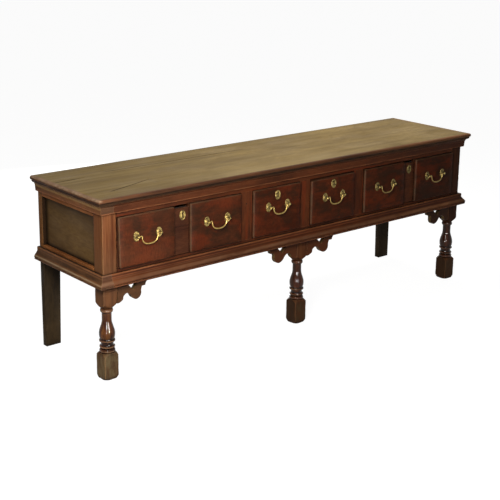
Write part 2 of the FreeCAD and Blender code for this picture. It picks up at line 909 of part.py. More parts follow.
def handle_post(x, level):
    """Cast post: threaded shank through the front, a tapered pillar and a bored ball."""
    inward = Vector(0, 1, 0)
    pillar_start = field_face - rosette_thickness - rosette_boss_height
    shank_end = front_back + nut_thickness + shank_stub
    shank = rod(shank_radius, Vector(x, pillar_start, level), inward * (shank_end - pillar_start))
    pillar = Part.makeCone(
        pillar_radius,
        pillar_foot_radius,
        pillar_start - pivot_line,
        Vector(x, pivot_line, level),
        inward,
    )
    ball = Part.makeSphere(ball_radius, Vector(x, pivot_line, level))
    eye = rod(
        bail_pin_radius + bail_pin_clearance,
        Vector(x - 2 * ball_radius, pivot_line, level),
        Vector(4 * ball_radius, 0, 0),
    )
    return shank.fuse([pillar, ball]).cut(eye)


def handle_nut(x, level):
    start = Vector(x, front_back, level)
    along = Vector(0, nut_thickness, 0)
    return rod(nut_radius, start, along).cut(rod(shank_radius + joint_clearance, start, along))


def rosette(x, level):
    """Oval plate with a scalloped edge and a round seat for its post."""
    def rim(turn, depth):
        across = (rosette_width / 2 - depth) * math.sin(turn)
        up = (rosette_height / 2 - depth) * math.cos(turn)
        return Vector(x + across, field_face, level + up)

    lobe = 2 * math.pi / rosette_lobes
    arcs = []
    for number in range(rosette_lobes):
        turn = number * lobe
        start = rim(turn - lobe / 2, rosette_lobe_depth)
        end = rim(turn + lobe / 2, rosette_lobe_depth)
        arcs.append(arc(start, rim(turn, 0), end))
    outward = Vector(0, -1, 0)
    plate = Part.Face(Part.Wire(arcs)).extrude(outward * rosette_thickness)
    face = Vector(x, field_face - rosette_thickness, level)
    seat = Part.makeCone(rosette_boss_radius, pillar_foot_radius, rosette_boss_height, face, outward)
    reach = rosette_thickness + rosette_boss_height
    hole = rod(shank_radius + joint_clearance, Vector(x, field_face, level), outward * reach)
    return plate.fuse(seat).cut(hole)


def escutcheon(span):
    """Oval keyhole plate, on the bare strip of a wide drawer or on a single field."""
    face = strip_face if span[2] > 1 else field_face
    middle = span[4]
    level = keyhole_level(span)
    long_end = Vector(middle, face, level + escutcheon_height / 2)
    wide_end = Vector(middle + escutcheon_width / 2, face, level)
    oval = Part.Ellipse(long_end, wide_end, Vector(middle, face, level)).toShape()
    plate = Part.Face(Part.Wire([oval])).extrude(Vector(0, -escutcheon_thickness, 0))
    middle_line = face - escutcheon_thickness / 2
    front_edge = [edge for edge in plate.Edges if edge.BoundBox.YMax < middle_line]
    hole = keyhole(span, face - escutcheon_thickness, face)
    return plate.makeChamfer(escutcheon_chamfer, front_edge).cut(hole)


def drawer_brasses(span):
    """Posts, nuts, rosettes and the keyhole plate of one drawer."""
    pieces = []
    for x in handle_centres(span):
        pieces += [rosette(x, span[3]), handle_post(x, span[3]), handle_nut(x, span[3])]
    return pieces + [escutcheon(span)]


def bail_crook(centre, level, side):
    """End of a bail: level from its pin, up through a small bend and down to the bowl."""
    def rise(turn):
        x = bail_shoulder - bail_bend * math.sin(turn)
        return Vector(centre + side * x, pivot_line, level + bail_bend * (1 - math.cos(turn)))

    def fall(turn):
        x = bail_half + bail_bend * (1 - math.sin(turn))
        return Vector(centre + side * x, pivot_line, level + bail_head + bail_bend * math.cos(turn))

    path = Part.Wire([
        arc(rise(0), rise(bail_turn / 2), rise(bail_turn)),
        arc(rise(bail_turn), fall(0), fall(math.pi / 2)),
    ])
    section = Part.Wire(Part.makeCircle(bail_end_radius, rise(0), Vector(1, 0, 0)))
    return path.makePipeShell([section], True, False)


def bail(centre, level):
    """Drop handle: a bowed bar, thicker in the middle, with a pin at each end in its post."""
    depth = bail_drop + bail_head
    power = 2 / bail_squareness
    sections = []
    for step in range(bail_bowl_steps + 1):
        turn = math.pi * step / bail_bowl_steps
        down = math.sin(turn)
        across = math.cos(turn)
        lean = math.copysign(abs(across) ** (2 - power), across)
        heading = math.atan2(depth * lean, bail_half * down ** (2 - power))
        radius = bail_end_radius + (bail_middle_radius - bail_end_radius) * down ** 2
        ring_line = Part.Wire(Part.makeCircle(radius, Vector(0, 0, 0), Vector(1, 0, 0)))
        ring_line.rotate(Vector(0, 0, 0), Vector(0, 1, 0), math.degrees(heading))
        x = centre - bail_half * math.copysign(abs(across) ** power, across)
        ring_line.translate(Vector(x, pivot_line, level + bail_head - depth * down ** power))
        sections.append(ring_line)
    pieces = []
    for side in (-1, 1):
        start = Vector(centre + side * bail_shoulder, pivot_line, level)
        pin = Vector(side * (2 * ball_radius + bail_shoulder_gap), 0, 0)
        pieces += [bail_crook(centre, level, side), rod(bail_pin_radius, start, pin)]
    return Part.makeLoft(sections, True).fuse(pieces)


def carcase_nodes():
    """Every fixed piece of the dresser base, by name."""
    plank_joint = back_face - back_plank_width
    post = front_post()
    plank_leg = back_post()
    end_rails = [end_rail(foot, height) for foot, height in rail_levels()]
    panel = block(end_panel_bounds())
    cornice_end = end_moulding(cornice_section, cornice_projection)
    waist_end = end_moulding(waist_section, waist_projection)
    return {
        "top_front_plank": [top_plank(front_face - top_overhang, plank_joint)],
        "top_back_plank": [top_plank(plank_joint, back_face)],
        "cornice_front": front_moulding(cornice_section, cornice_projection, cornice_patch_length),
        "cornice_ends": [cornice_end, mirrored(cornice_end)],
        "front_post_left": [post],
        "front_post_right": [mirrored(post)],
        "centre_leg": [centre_leg()],
        "back_posts": [plank_leg, mirrored(plank_leg)],
        "front_stiles": [front_stile(centre) for centre in stile_centres()],
        "front_top_rail": [front_top_rail()],
        "front_bottom_rail": [front_bottom_rail()],
        "end_rails": end_rails + [mirrored(rail) for rail in end_rails],
        "end_panels": [panel, mirrored(panel)],
        "back_rails": [back_rail(foot, height) for foot, height in rail_levels()],
        "back_board": [block(back_board_bounds())],
        "waist_moulding_front": front_moulding(waist_section, waist_projection, waist_patch_length),
        "waist_moulding_ends": [waist_end, mirrored(waist_end)],
        "leg_brackets": leg_brackets(),
        "drawer_runners": running_strips(opening_foot - runner_thickness, opening_foot),
        "drawer_guides": drawer_guides(),
        "drawer_kickers": running_strips(opening_head, opening_head + kicker_thickness),
        "joint_pegs": pegs(0),
    }


def drawer_nodes():
    """Every piece of the four drawers, by name, numbered from the left."""
    nodes = {}
    bails = 0
    for number, span in enumerate(opening_spans(), start=1):
        drawer = "drawer_%d_" % number
        nodes[drawer + "front"] = [drawer_front(span)]
        nodes[drawer + "fields"] = drawer_fields(span)
        nodes[drawer + "sides"] = drawer_sides(span)
        nodes[drawer + "back"] = [drawer_back(span)]
        nodes[drawer + "bottom"] = [drawer_bottom(span)]
        nodes[drawer + "brasses"] = drawer_brasses(span)
        nodes[drawer + "lock"] = [drawer_lock(span)]
        nodes[drawer + "lock_bolt"] = [block(bolt_bounds(span))]
        for centre in field_centres(span):
            bails += 1
            nodes["handle_bail_%d" % bails] = [bail(centre, span[3])]
    return nodes


os.makedirs("parts", exist_ok=True)
for name, solids in {**carcase_nodes(), **drawer_nodes()}.items():
    shape = solids[0] if len(solids) == 1 else Part.makeCompound(solids)
    shape.exportStep(os.path.join("parts", name + ".step"))
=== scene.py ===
import bmesh
import bpy
import json
from cmath import phase, rect
from math import atan, ceil, copysign, cos, hypot, pi, radians, sin, sqrt, tau
from mathutils import Matrix, Vector, noise

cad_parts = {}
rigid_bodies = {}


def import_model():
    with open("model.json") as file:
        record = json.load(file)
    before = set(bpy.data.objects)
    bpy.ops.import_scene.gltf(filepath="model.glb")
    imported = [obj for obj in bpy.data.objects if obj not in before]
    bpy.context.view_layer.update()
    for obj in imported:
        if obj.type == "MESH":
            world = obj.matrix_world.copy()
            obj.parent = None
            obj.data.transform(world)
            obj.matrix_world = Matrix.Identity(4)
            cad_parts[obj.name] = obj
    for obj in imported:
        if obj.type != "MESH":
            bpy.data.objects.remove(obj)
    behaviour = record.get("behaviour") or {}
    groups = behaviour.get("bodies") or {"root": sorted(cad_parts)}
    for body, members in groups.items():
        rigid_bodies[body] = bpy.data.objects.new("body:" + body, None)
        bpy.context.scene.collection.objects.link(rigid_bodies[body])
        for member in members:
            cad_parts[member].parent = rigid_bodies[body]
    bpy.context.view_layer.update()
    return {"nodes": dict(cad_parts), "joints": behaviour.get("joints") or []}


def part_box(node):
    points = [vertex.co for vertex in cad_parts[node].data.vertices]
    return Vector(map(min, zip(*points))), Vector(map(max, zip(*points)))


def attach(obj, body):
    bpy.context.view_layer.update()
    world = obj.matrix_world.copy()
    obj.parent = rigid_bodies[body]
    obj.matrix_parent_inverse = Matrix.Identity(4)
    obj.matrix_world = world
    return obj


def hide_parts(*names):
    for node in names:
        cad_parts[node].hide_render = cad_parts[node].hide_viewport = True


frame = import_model()

# Front legs: three lengths of square oak, turned between the blocks that stay square. The outer
# two run on up as the corner posts of the frame; the middle one is tenoned into the bottom rail.
# The wood is waxed dark brown, and the feet are scuffed grey from brooms and damp floors.
mm = 0.001
scene = bpy.context.scene


def shade(red, green, blue):
    """A colour as it is seen, 0 to 255, turned into the linear values that a finish takes."""
    parts = [value / 255 for value in (red, green, blue)]
    return (*[v / 12.92 if v < 0.04 else ((v + 0.055) / 1.055) ** 2.4 for v in parts], 1.0)


def knot(tree, kind, sockets, **settings):
    """One node of a finish, with its sockets set or joined."""
    made = tree.nodes.new("ShaderNode" + kind)
    for key, value in settings.items():
        setattr(made, key, value)
    for socket, value in sockets.items():
        if isinstance(value, bpy.types.NodeSocket):
            tree.links.new(value, made.inputs[socket])
        else:
            made.inputs[socket].default_value = value
    return made


class Finish:
    """One finish, mixed step by step; its colour is the coat laid so far, tones are as seen, 0 to 255."""

    def __init__(self, name, grain, seed):
        self.material = bpy.data.materials.new(name)
        self.material.use_nodes = True
        self.tree = self.material.node_tree
        self.shader = self.tree.nodes["Principled BSDF"]
        self.place = knot(self.tree, "TexCoord", {}).outputs["Object"]
        self.grain, self.seed = grain, seed
        self.colour = None

    def maths(self, operation, *values):
        return knot(self.tree, "Math", dict(enumerate(values)), operation=operation).outputs["Value"]

    def times(self, first, second):
        return self.maths("MULTIPLY", first, second)

    def between(self, value, low, high, to_low=0.0, to_high=1.0):
        """A value between two limits, carried over to two others and held there."""
        sockets = {"Value": value, "From Min": low, "From Max": high, "To Min": to_low, "To Max": to_high}
        return knot(self.tree, "MapRange", sockets).outputs["Result"]

    def blend(self, share, first, second, how="MIX"):
        first, second = [shade(*tone) if isinstance(tone, tuple) else tone for tone in (first, second)]
        sockets = {"Fac": share, "Color1": first, "Color2": second}
        return knot(self.tree, "MixRGB", sockets, blend_type=how).outputs["Color"]

    def lay(self, share, tone):
        """Lays a tone over the coat, as much as its share."""
        self.colour = self.blend(share, self.colour, tone)

    def cloudy(self, pull, size, detail=4.0, twist=0.0):
        """Clouds of a size (per metre), drawn out along the grain."""
        scale = [pull if axis == self.grain else 1.0 for axis in "XYZ"]
        shift = (self.seed * 1.7, self.seed * 0.9, self.seed * 2.3)
        sockets = {"Vector": self.place, "Location": shift, "Scale": scale}
        drawn = knot(self.tree, "Mapping", sockets).outputs["Vector"]
        sockets = {"Vector": drawn, "Scale": size, "Detail": detail, "Roughness": 0.62, "Distortion": twist}
        return knot(self.tree, "TexNoise", sockets).outputs["Fac"]

    def patchy(self, clouds, *ends):
        """Clouds, carried over as between does."""
        return self.between(self.cloudy(*clouds), *ends)

    def along(self, axis):
        return knot(self.tree, "SeparateXYZ", {"Vector": self.place}).outputs[axis]

    def apart(self, value, level):
        return self.maths("ABSOLUTE", self.maths("SUBTRACT", value, level))

    def ramp(self, axis, *ends):
        """The place along an axis in metres, carried over as between does."""
        return self.between(self.along(axis), *ends)

    def near(self, axis, level, *ends):
        """How far from a level on an axis, either way, carried over as between does."""
        return self.between(self.apart(self.along(axis), level), *ends)

    def turned(self, axis):
        """How much the surface faces along an axis of the piece, from -1 to 1."""
        normal = knot(self.tree, "TexCoord", {}).outputs["Normal"]
        return knot(self.tree, "SeparateXYZ", {"Vector": normal}).outputs[axis]

    def facing(self, axis, *ends):
        return self.between(self.turned(axis), *ends)

    def corners(self, reach):
        """1 in the open, falling towards 0 deep in a corner."""
        return knot(self.tree, "AmbientOcclusion", {"Distance": reach * mm}, samples=4).outputs["AO"]

    def arrises(self, rounding):
        """1 on an edge, 0 on the flat."""
        bent = knot(self.tree, "Bevel", {"Radius": rounding * mm}, samples=4).outputs["Normal"]
        flat = knot(self.tree, "NewGeometry", {}).outputs["Normal"]
        turn = knot(self.tree, "VectorMath", {0: bent, 1: flat}, operation="DOT_PRODUCT")
        return self.between(turn.outputs["Value"], 0.99, 0.86)

    def done(self, roughness, height, relief, depth):
        """Joins the coat, its dullness and its relief to the shader."""
        bump = knot(self.tree, "Bump", {"Height": height, "Strength": relief, "Distance": depth * mm})
        joins = {"Base Color": self.colour, "Roughness": roughness, "Normal": bump.outputs["Normal"]}
        for socket, value in joins.items():
            self.tree.links.new(value, self.shader.inputs[socket])
        return self.material


def oak(name, grain, deep, bright, worn, seed, cloud=6.0, figure=0.45, mottle=0.4, wear=0.6, rounding=3.0,
        gloss=(0.40, 0.62), shine=0.04, relief=0.35, dirt=0.75, recess=30.0, layer=None):
    """Old waxed oak: clouded tone, streaks and pores along the grain, worn arrises, corners darkened by dirt
    and painted shade.
    """
    wood = Finish(name, grain, seed)
    streaks = wood.patchy((0.025, 42.0, 5.0, 0.6), 0.38, 0.64)
    flecks = wood.patchy((0.3, 95.0, 5.0, 0.4), 0.42, 0.62)
    fibres = wood.cloudy(0.03, 230.0, 3.0)
    pores = wood.patchy((0.06, 640.0, 2.0), 0.60, 0.70)
    wood.colour = wood.blend(wood.patchy((0.4, cloud, 5.0, 0.5), 0.36, 0.64), deep, bright)
    wood.lay(wood.times(streaks, figure), deep)
    wood.lay(wood.between(fibres, 0.35, 0.75, 0.0, 0.30), bright)
    wood.lay(wood.times(flecks, mottle), deep)
    wood.lay(wood.times(pores, 0.45), deep)
    if layer:
        layer(wood)
    open_air = wood.corners(recess)
    rubbed = wood.times(wood.arrises(rounding), wood.patchy((0.3, 22.0), 0.38, 0.60, 0.25))
    wood.lay(wood.times(rubbed, wood.between(open_air, 0.45, 0.8, 0.0, wear)), worn)
    # Darkens corners and recesses, partly dirt and partly painted shade: dirt sets how dark, recess how far.
    dirt_and_shade = wood.between(open_air, 0.15, 0.75, 1.0 - dirt, 1.0)
    wood.colour = wood.blend(1.0, wood.colour, dirt_and_shade, "MULTIPLY")
    wood.shader.inputs["Specular IOR Level"].default_value = shine
    height = wood.maths("MULTIPLY_ADD", pores, -0.7, fibres)
    return wood.done(wood.patchy((0.3, 14.0), 0.3, 0.7, *gloss), height, relief, 0.6)


def scuffed_feet(wood, tone):
    """Greyed, rubbed wood below the turning, fading out upwards."""
    low = wood.ramp("Z", 0.135, 0.098)
    wood.lay(wood.times(low, wood.patchy((0.4, 44.0, 6.0), 0.35, 0.6, 0.3, 1.0)), tone)
    wood.lay(wood.ramp("Z", 0.022, 0.002, 0.0, 0.5), (52, 41, 28))


groove_dirt_and_shade = ((132.5, 139.5), (147.5, 158.0), (162.5, 166.5), (173.0, 181.0), (292.0, 297.5))
rubbed_rings = (125.0, 143.5, 170.0, 304.0)


def leg_colours(wood):
    """Scuffed feet, the brown of the frame from the block upwards, and a pale rubbed near corner.

    All of it is painted lightest on the left leg and darkest on the right, as painted light falling off
    from the left.
    """
    # Tones blended along inner run from the left leg to the middle: painted light falling off from the left.
    inner = wood.ramp("X", -1.0, -0.1)
    scuffed_feet(wood, wood.blend(inner, (114, 97, 69), (81, 61, 40)))
    # Olive patches on the turned vase and neck of the left leg only.
    vase = wood.times(wood.ramp("X", -0.9, -1.0), wood.ramp("Z", 0.175, 0.185))
    left_leg_olive = wood.patchy((0.15, 60.0, 5.0, 0.4), 0.42, 0.60, 0.0, 0.48)
    wood.lay(wood.times(vase, left_leg_olive), (128, 80, 30))
    streaky = wood.patchy((0.06, 46.0, 5.0, 0.5), 0.36, 0.64)
    left_lit_brown = wood.blend(streaky, (94, 54, 32), (144, 90, 54))
    threads = wood.patchy((0.04, 110.0, 4.0, 0.3), 0.48, 0.62, 0.0, 0.6)
    left_lit_brown = wood.blend(threads, left_lit_brown, (82, 37, 20))
    # Faces turned to the left end are painted darker, as painted shade.
    left_lit_brown = wood.blend(wood.facing("X", -0.75, -0.95, 0.0, 0.6), left_lit_brown, (84, 48, 23))
    dark = wood.blend(streaky, (48, 25, 13), (70, 38, 21))
    # The block and post are painted from a light brown on the left to a dark one on the right, as painted
    # light falling off.
    brown = wood.blend(wood.ramp("X", -1.05, 1.1), left_lit_brown, dark)
    dusty = wood.times(wood.ramp("Z", 0.62, 0.475, 0.0, 0.55), wood.ramp("X", -0.9, -1.0))
    wood.lay(wood.ramp("Z", 0.265, 0.345, 0.0, 0.92), wood.blend(dusty, brown, (98, 70, 48)))
    # On the middle and right legs the end faces are painted near black, as painted shade.
    wood.lay(wood.times(wood.facing("X", -0.75, -0.95, 0.0, 0.7), inner), (38, 26, 17))
    # The grooves are painted dark, partly dirt and partly painted shade.
    for low, high in groove_dirt_and_shade:
        half = (high - low) * mm / 2
        wood.lay(wood.near("Z", low * mm + half, half, 0.6 * half, 0.0, 0.85), (24, 15, 9))
    for level in rubbed_rings:
        bright = wood.near("Z", level * mm, 0.0028, 0.001, 0.0, 0.6)
        wood.lay(bright, wood.blend(inner, (150, 110, 78), (104, 68, 44)))
    flat = wood.near("Z", 0.22, 0.108, 0.116)
    corner = wood.times(wood.between(wood.apart(wood.turned("X"), -0.7), 0.32, 0.12), flat)
    rubbed = wood.patchy((0.3, 30.0, 5.0), 0.36, 0.6, 0.25, 0.8)
    wood.lay(wood.times(corner, rubbed), wood.blend(inner, (156, 112, 72), (112, 70, 42)))


def limits(node):
    """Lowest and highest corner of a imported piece, in millimetres."""
    low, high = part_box(node)
    return [value / mm for value in low], [value / mm for value in high]


def knocks(x, y, z, size, seed):
    """Uneven wear between 0 and 1 at a place, in lumps of a size in millimetres."""
    return 0.5 + 0.5 * noise.noise(Vector((x / size + seed * 7.1, y / size - seed * 3.3, z / size)))


def strip(points, faces, rows, ring=False):
    """Skins neighbouring rows of points with four-sided faces."""
    first = len(points)
    width = len(rows[0])
    for row in rows:
        points.extend(row)
    for line in range(len(rows) - 1):
        for place in range(width if ring else width - 1):
            a = first + line * width + place
            b = first + line * width + (place + 1) % width
            faces.append((a, b, b + width, a + width))


def cap(points, faces, loop):
    """One face over a loop of points."""
    faces.append(tuple(range(len(points), len(points) + len(loop))))
    points.extend(loop)


def tube(points, faces, rows):
    """Rows of points skinned all round and capped at both ends."""
    strip(points, faces, rows, ring=True)
    cap(points, faces, rows[0])
    cap(points, faces, rows[-1])


def piece(name, points, faces, finish, body, stands_for=(), crease=38):
    """A piece made from points in millimetres, fixed to a body and standing for its solids."""
    shape = bmesh.new()
    corners = [shape.verts.new([value * mm for value in point]) for point in points]
    for face in faces:
        shape.faces.new([corners[number] for number in face])
    bmesh.ops.remove_doubles(shape, verts=shape.verts, dist=0.02 * mm)
    bmesh.ops.recalc_face_normals(shape, faces=shape.faces)
    mesh = bpy.data.meshes.new(name)
    shape.to_mesh(mesh)
    shape.free()
    mesh.shade_smooth()
    mesh.set_sharp_from_angle(angle=radians(crease))
    mesh.materials.append(finish)
    thing = bpy.data.objects.new(name, mesh)
    scene.collection.objects.link(thing)
    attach(thing, body)
    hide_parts(*stands_for)
    return thing


def bead(foot, height, root, crown, steps=10):
    """Levels and diameters of one turned bead."""
    turns = [pi * step / steps for step in range(steps + 1)]
    return [(foot + height * (1 - cos(t)) / 2, root + (crown - root) * sin(t)) for t in turns]


def cove(groove_level, groove_wide, edge_level, edge_wide, steps=6):
    """Levels and diameters of one quarter hollow, from a groove out to the edge of a ring."""
    turns = [pi / 2 * step / steps for step in range(steps + 1)]
    rise, run = edge_level - groove_level, edge_wide - groove_wide
    return [(groove_level + rise * sin(t), edge_wide - run * cos(t)) for t in turns]


square_stock = 101.0
groove, low_ring, middle_ring, high_ring, belly, neck = 54.0, 68.4, 66.6, 68.4, 69.4, 42.5
vase_root = 58.0
turning = [(0, 79), (2, 83), (6, 88), (13, 95), (24, square_stock), (103, square_stock)]
turning += [(117, low_ring)] + bead(117.2, 15.8, vase_root, low_ring)
turning += cove(134.5, groove, 140.8, middle_ring) + [(143.3, middle_ring + 1)]
turning += cove(152.1, groove, 145.8, middle_ring)[::-1]
turning += cove(159.6, groove, 166.8, high_ring) + [(169.8, high_ring + 1)]
turning += cove(178, vase_root, 172.8, high_ring)[::-1]
for step in range(1, 9):
    swing = pi * step / 16
    turning.append((178 + 22 * (1 - cos(swing)), vase_root + (belly - vase_root) * sin(swing)))
for step in range(1, 17):
    swing = 0.5 + 0.5 * cos(pi * step / 16)
    turning.append((200 + 62 * step / 16, neck + (belly - neck) * swing))
turning += [(295, neck), (295.4, 46)] + bead(295.4, 17.6, 46, 56) + [(340, square_stock)]
turned_foot, turned_head = 117.0, 313.0
side_steps = 26
sharpness = 18.0
corner_from, corner_to = 1.18, 1.40
worn_foot = 10.0
wave_depth, chip_depth, foot_depth = 0.5, 2.2, 4.0
# Strong dirt and a short recess darken the grooves and corners, partly dirt and partly painted shade.
leg_wear = {"seed": 2, "cloud": 12.0, "rounding": 3.5, "wear": 0.8, "dirt": 0.95, "recess": 14.0}
leg_brown = oak("waxed_leg_oak", "Z", (36, 20, 12), (104, 57, 33), (150, 118, 84), **leg_wear,
                gloss=(0.40, 0.60), shine=0.03, layer=leg_colours)
polished_brown = oak("polished_turning_oak", "Z", (34, 16, 7), (104, 51, 25), (150, 118, 84), **leg_wear,
                     gloss=(0.05, 0.09), shine=0.13, relief=0.004, layer=leg_colours)
post_low, post_high = limits("front_post_left")
post_side = post_high[0] - post_low[0]
front_face, post_back = post_low[1], post_high[1]
end_face = -post_low[0]
top_underside = post_high[2]


def turned_post(name, left, right, top, seed):
    """A square post turned on the lathe: what is inside both its square and its turned outline is left."""
    half = (right - left) / 2
    middle = ((left + right) / 2, (front_face + post_back) / 2)
    across = [sin(pi * (step / side_steps - 0.5)) for step in range(side_steps)]
    angles = [side * pi / 2 + atan(offset) for side in range(4) for offset in across]
    levels = []
    for (low, wide), (high, wide_above) in zip(turning, turning[1:] + [(top, square_stock)]):
        parts = max(1, ceil((high - low) / (2.5 if wide != wide_above else 9.0)))
        for n in range(parts):
            levels.append((low + (high - low) * n / parts, wide + (wide_above - wide) * n / parts))
    rows = []
    for level, wide in levels + [(top, square_stock)]:
        row = []
        for angle in angles:
            run, rise = cos(angle), sin(angle)
            square = half / (abs(run) ** sharpness + abs(rise) ** sharpness) ** (1 / sharpness)
            out = min(wide / 2, square)
            x, y = middle[0] + out * run, middle[1] + out * rise
            on_corner = max(0.0, out / half - corner_from) / (corner_to - corner_from)
            chipped = chip_depth * on_corner * knocks(x, y, level, 17, seed + 1) ** 2
            out -= wave_depth * knocks(x, y, level, 30, seed) + chipped
            if level < worn_foot:
                out -= (1 - level / worn_foot) * foot_depth * knocks(x, y, 0, 22, seed + 2) ** 2
            row.append((middle[0] + out * run, middle[1] + out * rise, level))
        rows.append(row)
    points, faces = [], []
    tube(points, faces, rows)
    post = piece(name, points, faces, leg_brown, "carcase", (name,))
    post.data.materials.append(polished_brown)
    for face in post.data.polygons:
        face.material_index = int(turned_foot * mm < face.center.z < turned_head * mm)


leg_low, leg_high = limits("centre_leg")
rail_foot = limits("front_bottom_rail")[0][2]
turned_post("front_post_left", -end_face, -end_face + post_side, top_underside, 1)
turned_post("front_post_right", end_face - post_side, end_face, top_underside, 2)
turned_post("centre_leg", leg_low[0], leg_high[0], rail_foot, 3)

# Back posts: two plain sawn planks that run from the floor to the top. Below the rail they narrow to
# the back legs, which were never polished and have gone a dull dark olive brown.
back_post_width = 85.0
back_foot_width = 75.0
back_arris = 2.2


def cuts_along(low, high, arris, step, extra=()):
    """Where a board is cut along one of its edges, closer together on its arrises."""
    parts = max(1, round((high - low - 2 * arris) / step))
    flat = [low + arris + (high - low - 2 * arris) * n / parts for n in range(parts + 1)]
    return sorted(set([low, low + 0.35 * arris, *flat, high - 0.35 * arris, high, *extra]))


def board(name, low, high, arris, finish, body, node, form, chip, seed, step=45.0, wave=0.3, well=None):
    """A planed board with worn arrises, bent by its form; a well is a hole sunk in its front."""
    extra = [well[:2], (), well[2:]] if well else [(), (), ()]
    cuts = [cuts_along(low[n], high[n], arris, step, extra[n]) for n in range(3)]
    inner = [(low[n] + arris, high[n] - arris) for n in range(3)]

    def worn(point):
        core = [min(max(point[n], inner[n][0]), inner[n][1]) for n in range(3)]
        out = Vector([point[n] - core[n] for n in range(3)])
        sides = sum(1 for value in out if abs(value) > 0.01)
        lost = wave * knocks(*point, 120, seed)
        if sides > 1:
            lost += chip * knocks(*point, 26, seed + 5) ** 2
        return tuple(Vector(core) + out.normalized() * (arris - lost))

    points, faces = [], []
    for axis in range(3):
        u, v = [n for n in range(3) if n != axis]
        for level in (low[axis], high[axis]):
            rows = []
            for first in cuts[u]:
                spots = [{axis: level, u: first, v: second} for second in cuts[v]]
                rows.append([worn([spot[n] for n in range(3)]) for spot in spots])
            strip(points, faces, rows)
    if well:
        def sunk(face):
            x, y, z = [sum(points[corner][n] for corner in face) / len(face) for n in range(3)]
            return well[0] < x < well[1] and y < inner[1][0] and well[2] < z < well[3]

        faces = [face for face in faces if not sunk(face)]
        mouth = [(well[0], well[2]), (well[1], well[2]), (well[1], well[3]), (well[0], well[3])]
        floor = high[1] - 2 * arris
        strip(points, faces, [[(x, y, z) for x, z in mouth] for y in (low[1] + wave, floor)], ring=True)
        cap(points, faces, [(x, floor, z) for x, z in mouth])
    piece(name, [form(*point) for point in points], faces, finish, body, (node,))


def back_post_colours(wood):
    """Dull legs below the waist, orange brown above it, where the post is the stile of the end frame, with
    painted shade on its front face.
    """
    scuffed_feet(wood, (66, 52, 34))
    high = wood.ramp("Z", 0.405, 0.440, 0.0, 0.9)
    streaky = wood.patchy((0.06, 46.0, 5.0, 0.5), 0.36, 0.64)
    wood.lay(high, wood.blend(streaky, (96, 60, 32), (146, 98, 56)))
    # Above the waist the face turned to the front, deep in the end panel's recess, is painted near black as
    # painted shade.
    wood.lay(wood.times(high, wood.facing("Y", -0.5, -0.9, 0.0, 1.0)), (20, 14, 8))


def leg_taper(outside):
    """Narrows a back post below the rail, on the side away from its outer face."""
    def form(x, y, z):
        share = max(0.0, 1 - z / rail_foot)
        narrowed = 1 - share * (1 - back_foot_width / back_post_width)
        return outside + (x - outside) * narrowed, y, z
    return form


back_brown = oak("dull_back_post_oak", "Z", (34, 26, 17), (68, 54, 36), (112, 92, 64), seed=5,
                 cloud=7.0, wear=0.5, gloss=(0.55, 0.75), layer=back_post_colours)
back_low, back_high = limits("back_posts")
for name, outside in (("back_post_left", back_low[0]), ("back_post_right", back_high[0])):
    left = min(outside, outside - copysign(back_post_width, outside))
    near, far = (left, back_low[1], 0.0), (left + back_post_width, back_high[1], back_high[2])
    board(name, near, far, back_arris, back_brown, "carcase", "back_posts",
          leg_taper(outside), chip=2.0, seed=int(left))

# Frame rails and stiles: straight planed oak, mortised and tenoned into the posts and into each
# other, flush on the outside. Waxed a warm red brown, paler on the ends, the grain along each length.


def keep(name, finish, arris=0.8):
    """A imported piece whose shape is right: its edges eased, its finish laid on."""
    thing = frame["nodes"][name]
    thing.data.materials.clear()
    thing.data.materials.append(finish)
    weld = thing.modifiers.new("one_skin", "WELD")
    weld.merge_threshold = 0.01 * mm
    ease = thing.modifiers.new("eased_arrises", "BEVEL")
    ease.width = arris * mm
    ease.segments = 2
    ease.limit_method = "ANGLE"
    ease.angle_limit = radians(40)
    ease.harden_normals = True


def red_streaks(wood):
    """Wax worn through in streaks to redder wood, with dull dark wax left between."""
    wood.lay(wood.patchy((0.08, 34.0, 5.0, 0.4), 0.52, 0.64, 0.0, 0.6), (120, 50, 22))
    wood.lay(wood.patchy((0.12, 26.0, 5.0, 0.3), 0.46, 0.36, 0.0, 0.6), (58, 32, 18))


rail_red = ((64, 30, 15), (117, 62, 33), (150, 104, 66))
rail_oak = oak("rail_oak", "X", *rail_red, seed=11, rounding=2.0, wear=0.45, layer=red_streaks)
stile_oak = oak("stile_oak", "Z", *rail_red, seed=12, rounding=2.5, wear=0.7, layer=red_streaks)
end_rail_oak = oak("end_rail_oak", "Y", (102, 60, 31), (158, 100, 55), (172, 120, 74), seed=13)
keep("front_top_rail", rail_oak)
keep("front_bottom_rail", rail_oak)
keep("front_stiles", stile_oak, 1.2)
keep("end_rails", end_rail_oak, 1.0)

# End panels: thin cleft oak boards let dry into grooves in the end frames, set well back from
# their faces, grain level. They are a dark olive, darkest under the rail above and along the foot.


def panel_shadow(wood):
    """Painted shade along the top of the panel, in its back corner and along its foot."""
    back_corner = back_low[1] * mm
    wood.lay(wood.ramp("Z", 0.58, 0.71, 0.0, 0.75), (44, 30, 17))
    wood.lay(wood.ramp("Y", back_corner - 0.028, back_corner - 0.010, 0.0, 0.85), (26, 18, 11))
    wood.lay(wood.ramp("Z", 0.503, 0.490, 0.0, 0.9), (28, 19, 11))


panel_oak = oak(
    "end_panel_oak", "Y", (72, 51, 27), (112, 86, 51), (120, 92, 58), seed=17,
    figure=0.3, mottle=0.35, dirt=0.85, layer=panel_shadow,
)
keep("end_panels", panel_oak, 0.5)

# Back of the carcase: two rails and one wide thin board held in their grooves. Bare oak, sawn and
# never finished, grey brown with dust and old water marks.


def water_marks(wood):
    """Blots where water has stood."""
    wood.lay(wood.patchy((0.8, 4.5, 6.0, 1.2), 0.52, 0.60, 0.0, 0.5), (70, 56, 40))


